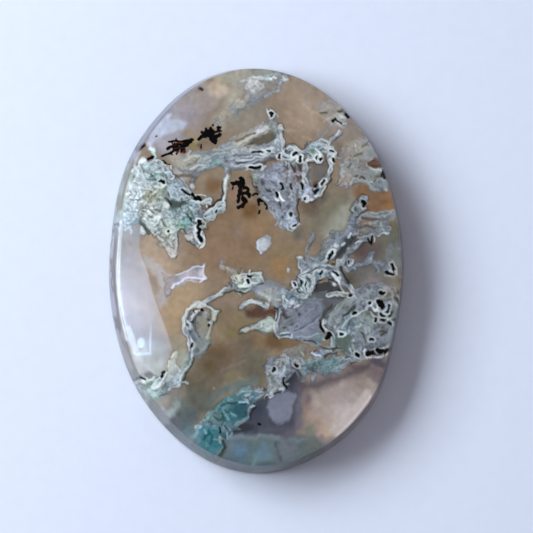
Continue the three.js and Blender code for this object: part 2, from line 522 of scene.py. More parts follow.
BACK_COLOUR = (150, 146, 140)
GROUND_BASE = (143, 127, 109)
GROUND_PATCHES = [
    # The whole of the stone, in broad strokes
    spot(180, 108, 26, 14, (157, 151, 157)),
    spot(166, 134, 20, 10, (168, 164, 172)),
    spot(205, 97, 14, 8, (163, 155, 149)),
    spot(245, 110, 24, 14, (139, 133, 122)),
    spot(308, 100, 30, 16, (158, 142, 126)),
    spot(350, 135, 24, 14, (147, 137, 128)),
    spot(366, 150, 14, 8, (164, 168, 174)),
    spot(330, 215, 26, 14, (128, 122, 106)),
    spot(396, 250, 24, 12, (104, 101, 90)),
    spot(372, 275, 22, 12, (111, 109, 105)),
    spot(232, 238, 42, 20, (136, 115, 93)),
    spot(288, 256, 18, 10, (136, 120, 96)),
    spot(156, 250, 22, 12, (175, 157, 139)),
    spot(135, 300, 26, 12, (172, 158, 148)),
    spot(182, 302, 22, 12, (167, 147, 120)),
    spot(180, 345, 14, 10, (151, 143, 127)),
    spot(150, 362, 18, 8, (178, 183, 180)),
    spot(236, 325, 22, 12, (130, 118, 94)),
    spot(247, 350, 18, 10, (112, 99, 85)),
    spot(256, 366, 18, 10, (106, 101, 87)),
    # The haze at the top
    spot(216, 89, 5, 5, (196, 182, 166)),
    spot(222, 92, 4, 4, (190, 176, 158)),
    stroke([(237, 70), (238, 82)], 1.5, 3, (176, 156, 146)),
    stroke([(286, 110), (292, 118), (300, 122)], 0.8, 2, (170, 148, 124)),
    spot(174, 99, 2, 2, (146, 122, 66)),
    spot(197, 88, 4, 3, (150, 136, 110)),
    # Painted reflection of the window: the pale blue patch at the upper left
    area([(160, 117), (166, 112), (171, 114), (169, 121), (178, 119), (187, 121), (184, 127), (174, 131),
          (164, 135), (152, 142), (149, 134)], 2.2, (190, 199, 214)),
    spot(220, 90, 7, 6, (196, 182, 166)),
    stroke([(238, 76), (236, 92), (228, 108), (218, 124)], 6, 6, (172, 166, 152)),
    # The upper right
    stroke([(304, 106), (311, 111), (318, 114), (327, 121)], 0.9, 1.5, (176, 160, 138)),
    spot(350, 140, 7, 5, (142, 132, 120)),
    # The pale patch at the upper left
    stroke([(152, 122), (142, 136), (134, 152)], 2, 3, (172, 170, 178)),
    # The cloud at the left
    spot(126, 236, 10, 6, (158, 156, 156)),
    spot(138, 232, 5, 4, (138, 140, 140)),
    spot(130, 246, 10, 6, (160, 151, 142)),
    stroke([(122.6, 243), (125, 247), (123, 251)], 0.5, 0.8, (128, 124, 126)),
    stroke([(129, 240), (132, 243), (130, 247)], 0.5, 0.8, (136, 130, 128)),
    spot(131, 256, 8, 5, (158, 147, 138)),
    spot(210, 253, 11, 7, (144, 118, 97)),
    spot(181, 172, 7, 5, (170, 170, 174)),
    # The band and the arch below it
    stroke([(266, 128), (274, 131), (280, 139)], 0.9, 1.8, (150, 142, 120)),
    spot(192.5, 145, 3, 3, (146, 130, 84)),
    spot(198.5, 145.5, 2, 2.5, (90, 76, 56)),
    spot(183, 152.6, 3.6, 2, (126, 88, 68)),
    spot(195, 139, 3, 3, (158, 146, 104)),
    spot(176, 156, 7, 5, (182, 168, 156)),
    stroke([(169, 143.4), (178, 142.4)], 0.8, 1.2, (206, 184, 172)),
    spot(213.5, 134.5, 1.5, 1.2, (208, 178, 164)),
    spot(204, 142, 2.6, 2.5, (124, 112, 96)),
    spot(185, 154.5, 1.2, 1, (120, 80, 34)),
    spot(190, 133, 6, 3, (156, 144, 128)),
    # The arch and the dendrites
    stroke([(240, 205), (252, 212)], 3, 4, (140, 124, 116)),
    spot(238, 232, 5, 5, (142, 124, 112)),
        stroke([(228, 176), (236, 174), (246, 173)], 1.4, 1.6, (148, 128, 100)),
    spot(234, 194, 4, 3, (148, 120, 106)),
    spot(214, 186, 8, 5, (124, 98, 72)),
    # The grey mass in the middle
    spot(268, 199, 2.5, 1.5, (96, 78, 56)),
    spot(258, 228, 12, 10, (146, 122, 94)),
    spot(250, 210, 8, 5, (112, 86, 56)),
    # The row of knobs and its loop
    area([(312, 163), (320, 162), (326, 163), (327, 175), (322, 182), (316, 186), (311, 178)],
         2, (116, 110, 106)),
    spot(316, 184, 3, 2, (95, 72, 60)),
    spot(310, 205, 10, 6, (104, 92, 78)),
    spot(296, 170, 4, 3, (128, 108, 96)),
    stroke([(283, 131), (292, 130), (302, 135), (312, 141)], 0.9, 1.6, (172, 154, 130)),
    spot(322, 196, 6, 5, (98, 92, 82)),
    # The web at the right
    area([(336, 143), (342, 141), (345, 150), (342, 158), (336, 155)], 3, (128, 114, 102)),
    area([(367, 162), (370, 158), (376, 158), (380, 161), (382, 166), (381, 169), (375, 169), (369, 168)],
         1.5, (96, 66, 48)),
    spot(374, 165, 5, 2, (94, 66, 44)),
    # The hook and the ridges at the right
    area([(358, 185), (365, 184), (370, 188), (380, 191), (390, 187), (396, 195), (402, 209), (396, 211),
          (367, 213), (363, 211), (365, 205), (359, 199), (351, 203), (349, 200), (350, 195), (354, 189)],
         2, (131, 103, 79)),
    spot(392, 204, 9, 6, (140, 112, 80)),
    spot(384, 196, 5, 5, (112, 88, 72)),
    stroke([(366, 207), (368, 212)], 2, 2, (104, 66, 48)),
    area([(322, 232), (334, 214), (346, 200), (352, 196), (354, 206), (350, 224), (340, 236), (328, 246)],
         6, (160, 160, 148)),
    spot(345, 198, 6, 5, (124, 118, 104)),
    spot(394, 228, 8, 5, (112, 106, 86)),
    spot(392, 240, 9, 6, (106, 106, 98)),
    # The net
    spot(350, 279, 6, 5, (92, 90, 78)),
    spot(298, 234, 6, 6, (102, 100, 92)),
    # The strands right of the net
    spot(402, 275, 8, 6, (112, 108, 102)),
    spot(368, 250, 12, 6, (98, 88, 86)),
    spot(372, 285, 8, 5, (138, 130, 130)),
    spot(361, 251, 7, 5, (96, 82, 80)),
    # The branch at the left
    spot(165, 262, 10, 8, (172, 153, 133)),
    area([(142, 256), (150, 257), (158, 263), (166, 271), (177, 276), (174, 285), (169, 293), (165, 303),
          (159, 307), (157, 296), (160, 287), (156, 278), (150, 269), (143, 265)], 2.6, (173, 168, 168)),
    stroke([(123, 262), (125, 266), (123.4, 270)], 0.4, 0.8, (138, 134, 142)),
    # The knot, the lump and the hexagon
    spot(280, 267, 10, 6, (152, 124, 90)),
    spot(215, 255, 10, 8, (142, 119, 98)),
    stroke([(216, 300), (226, 306), (236, 302)], 3, 4, (140, 124, 112)),
    # The reflection's edge and the left wall
    spot(168, 322, 12, 8, (170, 148, 120)),
    spot(165, 318, 4, 4, (160, 146, 128)),
    # The loop
    spot(186, 360, 8, 6, (156, 164, 156)),
    spot(214, 360, 16, 12, (90, 70, 44)),
    spot(210, 374, 20, 10, (112, 102, 88)),
    spot(187, 360, 4, 3, (158, 176, 166)),
    spot(196, 330, 14, 12, (146, 134, 110)),
    spot(210, 366, 8, 8, (97, 82, 60)),
    # The ball and the post
    area([(252, 336), (268, 336), (284, 337), (300, 340), (304, 344), (290, 348), (272, 350), (254, 347)],
         4, (124, 104, 79)),
    area([(245, 309), (258, 307), (270, 309), (278, 309), (278, 317), (268, 316), (256, 319), (246, 318)],
         2.5, (86, 64, 56)),
    spot(272, 312, 3, 3, (92, 58, 38)),
    spot(234, 330, 8, 5, (124, 112, 82)),
    stroke([(226, 344), (236, 340)], 1, 1.5, (130, 112, 104)),
    spot(226, 318, 10, 8, (128, 112, 92)),
    spot(274, 341, 8, 5, (104, 82, 58)),
    # The membrane
    spot(314, 300, 12, 6, (104, 106, 110)),
    # The mass at the right
    area([(318, 284), (334, 286), (346, 291), (342, 302), (332, 312), (325, 326), (318, 322), (316, 300)],
         3, (98, 101, 105)),
    spot(337, 289, 3, 2, (74, 78, 78)),
    # The arc
    stroke([(222, 372), (234, 365), (244, 360)], 0.8, 1.5, (132, 116, 108)),
    stroke([(228, 376), (240, 380), (248, 384)], 3, 4, (126, 118, 92)),
    stroke([(238, 378), (250, 383)], 1, 1.5, (150, 142, 116)),
    spot(240, 388, 5, 4, (94, 104, 110)),
    # The lower left
    spot(157, 350, 8, 6, (162, 160, 154)),
    spot(158, 403, 7, 4, (158, 155, 148)),
    stroke([(136, 352), (142, 364), (150, 370)], 3, 3, (196, 198, 198)),
    # Painted grey shadow under the lower left moss
    spot(149, 373.5, 3, 1.5, (150, 152, 158)),
    spot(178, 361, 3, 5, (166, 162, 148)),
    # The teal mass
    spot(190, 388, 12, 9, (98, 92, 78)),
    spot(184, 412, 16, 8, (101, 111, 110)),
    spot(204, 402, 12, 8, (90, 91, 82)),
    stroke([(206, 404), (216, 396), (228, 389), (242, 384), (256, 381)], 3.5, 4, (106, 118, 116)),
    spot(214, 389, 1.6, 1, (150, 140, 116)),
    spot(178, 393, 8, 6, (134, 128, 119)),
    spot(166, 402, 5, 4, (148, 144, 136)),
    spot(163, 396, 5, 4, (146, 154, 158)),
    spot(176, 405, 3.5, 3, (150, 165, 156)),
    spot(172, 412, 4, 3, (162, 171, 176)),
    spot(160, 412, 6, 4, (160, 163, 172)),
    spot(168, 418, 5, 4, (146, 152, 160)),
    spot(178, 414, 2.5, 2, (86, 96, 92)),
    spot(174, 421, 3, 2.5, (88, 92, 98)),
    spot(186, 404, 4, 4, (112, 114, 104)),
    spot(190, 418, 8, 6, (92, 100, 104)),
    spot(184, 428, 6, 4, (86, 104, 110)),
    spot(200, 399, 9, 7, (101, 102, 92)),
    # The dark hollow and the pink corner, whose pale pink is painted light gathered in the stone's lower
    # right
    area([(304, 378), (330, 372), (352, 366), (390, 360), (400, 382), (372, 412), (345, 438), (322, 452),
          (310, 440), (306, 420), (302, 400)], 9, (166, 153, 147)),
    spot(372, 372, 10, 8, (132, 116, 104)),
    spot(360, 382, 10, 9, (150, 138, 130)),
    spot(322, 386, 10, 9, (152, 142, 138)),
    spot(344, 402, 12, 10, (167, 156, 154)),
    spot(350, 418, 12, 9, (190, 182, 180)),
    spot(366, 400, 7, 7, (186, 174, 166)),
    spot(338, 430, 7, 6, (196, 184, 178)),
    spot(316, 424, 8, 8, (164, 146, 132)),
    spot(306, 408, 5, 7, (150, 128, 112)),
    spot(310, 434, 5, 5, (168, 146, 112)),
    spot(327, 434, 4.5, 5, (178, 154, 124)),
    area([(284, 370), (300, 370), (303, 384), (300, 402), (299, 420), (294, 433), (270, 437), (250, 437),
          (231, 437), (229, 428), (244, 421), (250, 406), (262, 398), (276, 393), (282, 385)],
         4, (72, 75, 86)),
    stroke([(301, 384), (300, 402), (298, 420)], 3, 6, (98, 96, 106)),
    stroke([(307, 392), (306, 408), (305, 422)], 2, 5, (140, 120, 112)),
    spot(290, 378, 7, 5, (54, 57, 66)),
    spot(254, 410, 8, 6, (60, 65, 78)),
    stroke([(262, 431), (280, 430), (292, 428)], 3, 3, (84, 88, 98)),
    spot(296, 456, 18, 8, (97, 105, 108)),
    area([(279, 393), (290, 391), (296, 393), (297, 397), (294, 402), (293, 410), (290, 418), (284, 423),
          (277, 424), (272, 420), (269, 413), (267, 406), (270, 400), (275, 396)], 1.6, (121, 125, 141)),
    spot(372, 366, 3, 2, (176, 158, 152)),
    stroke([(350, 366), (362, 368)], 3, 3, (118, 98, 96)),
    # Painted shade on the ground right under the moss's lower edge
    stroke([(300, 386), (316, 385), (334, 379), (350, 374), (366, 367), (380, 358)], 4, 7, (84, 76, 82)),
    spot(308, 398, 4, 6, (108, 100, 104)),
    stroke([(300, 388), (300, 414)], 1.5, 3, (96, 98, 112)),
    # The foot of the stone
    stroke([(276, 441), (292, 440), (310, 438)], 4, 4, (100, 108, 110)),
    spot(310, 430, 6, 5, (124, 126, 118)),
    area([(226, 440), (250, 438), (290, 439), (322, 440), (336, 446), (318, 462), (290, 474), (250, 476),
          (220, 464)], 5, (100, 112, 114)),
    spot(312, 448, 8, 6, (104, 112, 100)),
    spot(331, 446, 7, 5, (136, 126, 128)),
    spot(238, 450, 12, 8, (104, 120, 130)),
    spot(262, 451, 12, 8, (102, 120, 122)),
    spot(240, 440, 6, 4, (90, 108, 116)),
    spot(288, 447, 10, 5, (110, 116, 124)),
    stroke([(226, 462), (250, 466), (276, 463)], 2, 3, (80, 100, 110)),
    stroke([(276, 442), (278, 452), (279, 458)], 1, 2.5, (76, 82, 86)),
    stroke([(250, 444), (262, 456)], 2, 4, (94, 112, 116)),
    stroke([(232, 437), (250, 436), (270, 437), (290, 439), (305, 441)], 2, 2, (116, 130, 136)),
    area([(233, 425), (245, 423), (253, 426), (252, 432), (240, 433), (234, 433)], 1.6, (58, 60, 68)),
    area([(217, 440), (229, 440), (226, 448), (221, 458), (217, 450)], 1.5, (62, 68, 58)),
    stroke([(300, 424), (295, 431), (284, 436)], 3, 4, (104, 100, 112)),
    spot(310, 440, 6, 4, (116, 118, 120)),
    spot(241, 452, 8, 4, (98, 124, 144)),
    spot(263, 451, 8, 4, (100, 124, 136)),
]

# Colours seen near the stone's outline, in degrees round from the right and pixels inside it

SIDE_INSET = 2.0  # the side takes the colour seen this far inside the outline, or farther
SIDE_DRIFT = 9.0  # how far the colours wander along the outline towards the foot of the side
SIDE_DEEPENING = 7.0  # how much farther inside they come from there
SIDE_WANDER = [(1.0, 17, 57), (0.4, 7, 58)]
SIDE_DEPTHS = [(0.5, 11, 59)]
SIDE_PIXELS_PER_DEGREE = 2.9  # round the unrolled side
SIDE_PIXELS_PER_MM = 12.0  # up the unrolled side
# Painted shade on the side, by how bright its colours are: degrees and share
SIDE_SHARES = [(-180, 0.7), (-120, 0.68), (-90, 0.68), (-45, 0.9), (0, 0.95), (90, 0.9), (135, 0.7),
               (150, 0.75), (160, 0.95), (168, 0.98), (174, 0.72), (180, 0.7)]
RIM_PATCHES = [
    # The left side
    stroke([(-190, 2.5), (-165, 2.5), (-152, 3)], 2.6, 1.2, (208, 208, 224)),
    stroke([(-160, 4), (-150, 3)], 3.2, 2, (206, 202, 206)),
    stroke([(-190, 5.4), (-172, 6.4), (-162, 6.2)], 0.6, 0.9, (120, 106, 108)),
    stroke([(-163, 12), (-150, 12)], 4, 1.5, (196, 198, 200)),
    stroke([(-162, 6.6), (-155, 7.4), (-149.5, 8.4)], 0.6, 0.9, (158, 154, 146)),
    # Painted highlight: the window's bright line along the left shoulder
    stroke([(-195, 8.2), (-165, 8.6), (-160, 9)], 1.0, 1.0, (232, 240, 246)),
    stroke([(-148.8, 3.6), (-147.9, 8), (-147, 11.5)], 0.9, 0.8, (40, 18, 12)),
    stroke([(-147.4, 2), (-146.8, 5), (-146.2, 9)], 0.9, 0.8, (246, 248, 246)),
    stroke([(-145, 1.5), (-142, 4), (-141.5, 12)], 2.2, 1.5, (184, 194, 192)),
    stroke([(-140.2, 9), (-140, 13)], 0.8, 1.0, (140, 196, 186)),
    stroke([(-180, 5.6), (-175.5, 6.2), (-171, 6.8)], 0.7, 0.9, (128, 110, 112)),
    # Painted highlight beside the shoulder's bright line
    stroke([(-180, 10.2), (-174, 10.6), (-168, 11), (-162, 11)], 1.0, 1.0, (196, 196, 204)),
    # The foot
    stroke([(-138, 3), (-138, 16)], 4.5, 2, (152, 152, 146)),
    stroke([(-134, 1), (-133, 12)], 3.2, 1.8, (160, 170, 172)),
    stroke([(-130, 2), (-128, 12), (-126, 4)], 4, 2, (100, 106, 110)),
    stroke([(-124.5, 3), (-123, 16)], 4, 1.8, (98, 122, 126)),
    stroke([(-122.4, 2), (-122, 15)], 1.6, 1.6, (104, 126, 132)),
    stroke([(-121, 3), (-120.4, 12)], 1.5, 1.5, (122, 140, 150)),
    stroke([(-117, 5), (-116, 12), (-113, 5), (-112, 12)], 2.5, 2, (66, 122, 130)),
    stroke([(-109, 5), (-108, 12)], 1.5, 1.5, (52, 82, 80)),
    stroke([(-128, 1.5), (-118, 2)], 1.5, 1.2, (132, 140, 152)),
    stroke([(-103, 8), (-98, 14)], 4, 3, (92, 112, 122)),
    stroke([(-94, 8), (-93, 14)], 1.5, 2, (104, 140, 140)),
    stroke([(-108, 2), (-98, 2.2), (-88, 2.4), (-80, 1.5)], 2.4, 1.2, (134, 138, 152)),
    stroke([(-104, 6.3), (-95, 6.6), (-88, 6.4)], 0.8, 1.2, (84, 104, 108)),
    stroke([(-80, 5), (-72, 4)], 2, 1.5, (108, 116, 122)),
    stroke([(-84, 2), (-76, 1.6), (-66, 1.8)], 2.4, 1.2, (136, 144, 150)),
    stroke([(-84, 6), (-83.6, 15)], 1.6, 1.4, (104, 114, 118)),
    stroke([(-82, 9), (-82, 14)], 1, 1.5, (78, 86, 94)),
    stroke([(-69, 4), (-67.5, 15)], 3.5, 2, (106, 116, 112)),
    stroke([(-66.4, 4), (-66, 15)], 1.8, 2, (112, 118, 108)),
    stroke([(-63.4, 4), (-62.4, 15)], 2, 2, (138, 126, 128)),
    # The lower right
    # Painted light gathered at the lower right: the broad pale pink band
    stroke([(-58, 12), (-46, 12), (-40, 10)], 4, 2, (188, 178, 174)),
    stroke([(-61, 1.6), (-50, 1.8), (-42, 1)], 2.2, 1, (146, 142, 164)),
    stroke([(-62, 5), (-55, 4.8), (-48, 4.8), (-42, 3.8), (-37, 2.4)], 0.5, 0.9, (84, 74, 72)),
    # Painted light: the bright crescent along the lower right shoulder
    stroke([(-58, 7.2), (-50, 7.6), (-44, 7), (-40, 6)], 0.8, 1, (208, 200, 200)),
    stroke([(-37, 6), (-36, 14)], 2.5, 2, (160, 152, 144)),
    stroke([(-33.6, 3), (-32.6, 16)], 6, 3, (124, 112, 114)),
    stroke([(-63.4, 2.6), (-61.4, 4.6)], 2.4, 1.6, (140, 132, 134)),
    # The right side
    stroke([(-29.8, 2), (-29.4, 16)], 3.6, 2, (90, 86, 96)),
    stroke([(-21, 2), (-19, 6), (-22, 10)], 4, 2, (134, 142, 148)),
    stroke([(-14, 3), (-12, 8)], 4, 2, (128, 134, 132)),
    stroke([(-22.5, 0), (-25, 4.5), (-26.5, 11), (-28, 18)], 1.0, 0.9, (14, 14, 14)),
    stroke([(-15.4, 3), (-15.8, 5)], 0.8, 0.8, (20, 22, 16)),
    stroke([(-17, 7), (-16.8, 10)], 0.9, 0.8, (18, 20, 14)),
    stroke([(-13.4, 6.6), (-14.6, 9.5)], 0.8, 0.8, (18, 20, 16)),
    stroke([(-13, 12), (-12.4, 14)], 1.3, 0.8, (14, 16, 14)),
    stroke([(-19.6, 10), (-20, 14)], 1.0, 1, (72, 72, 52)),
    stroke([(-11.2, 1.6), (-9, 7)], 1.2, 1.2, (84, 80, 58)),
    stroke([(-7, 0), (-7, 3)], 0.9, 1.2, (104, 98, 72)),
    stroke([(-6, 4), (-4, 8)], 3, 2.5, (132, 126, 112)),
    stroke([(-3.2, -1), (-3, 3)], 1.2, 1.2, (196, 148, 116)),
    stroke([(1, 4), (3, 8), (6, 4)], 4, 3, (118, 122, 118)),
    stroke([(5, 0), (5, 4)], 0.8, 1, (150, 158, 164)),
    stroke([(10, 2), (11, 10)], 3, 3, (106, 102, 86)),
    stroke([(17.5, 0), (18, 12)], 3, 2, (150, 114, 76)),
    stroke([(21, 0), (21, 12)], 3, 2, (140, 108, 80)),
    stroke([(15, 1), (15, 10), (14, 14)], 1.2, 1.2, (140, 146, 152)),
    stroke([(24.5, 1), (25, 8), (26, 14)], 2, 1.6, (136, 146, 144)),
    # The upper right
    stroke([(31, 3), (32, 9), (32.5, 14)], 1.8, 1, (112, 88, 76)),
    stroke([(29.3, 4), (30, 12)], 0.6, 0.8, (178, 184, 180)),
    stroke([(27, 5), (28, 2.6)], 1.2, 0.8, (10, 9, 8)),
    stroke([(35, 2), (36, 12)], 3, 2, (146, 156, 152)),
    stroke([(38.2, 2), (38, 6)], 0.6, 0.8, (104, 96, 80)),
    stroke([(41, 2), (44, 8), (47, 3)], 4, 3, (142, 132, 124)),
    stroke([(50, 6), (50.5, 10)], 1.2, 1.2, (176, 180, 176)),
    stroke([(51, 1.5), (52.5, 7)], 0.7, 0.9, (86, 72, 44)),
    stroke([(48.6, 2.2), (50, 2)], 1.4, 0.8, (12, 10, 8)),
    stroke([(50.3, 11.8), (51.5, 12.5), (51.3, 17)], 1.1, 0.8, (14, 12, 10)),
    stroke([(54.5, 12), (56, 17)], 1.4, 1, (112, 102, 74)),
    stroke([(60, 3), (66, 8), (70, 3)], 6, 4, (156, 142, 128)),
    # The top
    stroke([(83, 2), (88, 5)], 3, 2, (146, 148, 138)),
    stroke([(75, 5), (77, 8)], 1.2, 1, (206, 214, 206)),
    stroke([(80.2, 5), (81, 10)], 0.5, 0.8, (206, 214, 212)),
    stroke([(81, 5), (82, 10)], 0.4, 0.7, (54, 58, 60)),
    stroke([(92, 4), (97, 8), (103, 4)], 5, 3, (162, 160, 146)),
    stroke([(95, 0), (96, 6)], 1, 1.2, (188, 176, 168)),
    stroke([(104, 6), (107, 14)], 3, 3, (176, 162, 142)),
    stroke([(112.5, 2.5), (111.2, 8.5)], 1.5, 0.8, (10, 9, 8)),
    # The upper left
    stroke([(116, 4), (121, 6)], 3, 3, (160, 150, 138)),
    stroke([(116.8, 0), (117, 3.8)], 1.2, 0.7, (14, 12, 8)),
    stroke([(122, 2), (122, 4.4)], 0.9, 0.8, (128, 110, 44)),
    stroke([(112, 2), (119, 2.4), (127, 3), (136, 3.4), (142, 3)], 3, 1.6, (150, 150, 162)),
    # Painted reflection: the pale blue band of the window near the upper left rim
    stroke([(129, 10.4), (134, 10.4), (139, 10.4)], 2.6, 2, (182, 188, 204)),
    stroke([(124, 2), (132, 2), (139, 2)], 2.4, 1.4, (146, 150, 172)),
    stroke([(143, 4), (147, 5)], 3, 2, (184, 188, 202)),
    stroke([(140.2, 7), (142.5, 4.5), (144.8, 1.6)], 1.5, 0.8, (30, 22, 14)),
    stroke([(150, 2), (152, 6), (156, 3), (160, 6), (164, 3)], 4, 2, (180, 194, 190)),
    stroke([(170.5, 5), (173.5, 5.2), (177, 5.4), (180, 5.6)], 0.8, 0.9, (126, 112, 88)),
    # Painted highlight: the window's bright line along the upper left shoulder
    stroke([(166, 9), (170, 9.4), (175, 9.8), (180, 10.2)], 1.1, 1.0, (206, 208, 212)),
    stroke([(146.4, 5.4), (150, 5.8), (156, 6), (161.5, 6.4)], 1.0, 1.0, (136, 128, 102)),
    stroke([(165.5, 4), (166, 6.5)], 0.6, 0.7, (70, 76, 56)),
]

# Colours of the moss

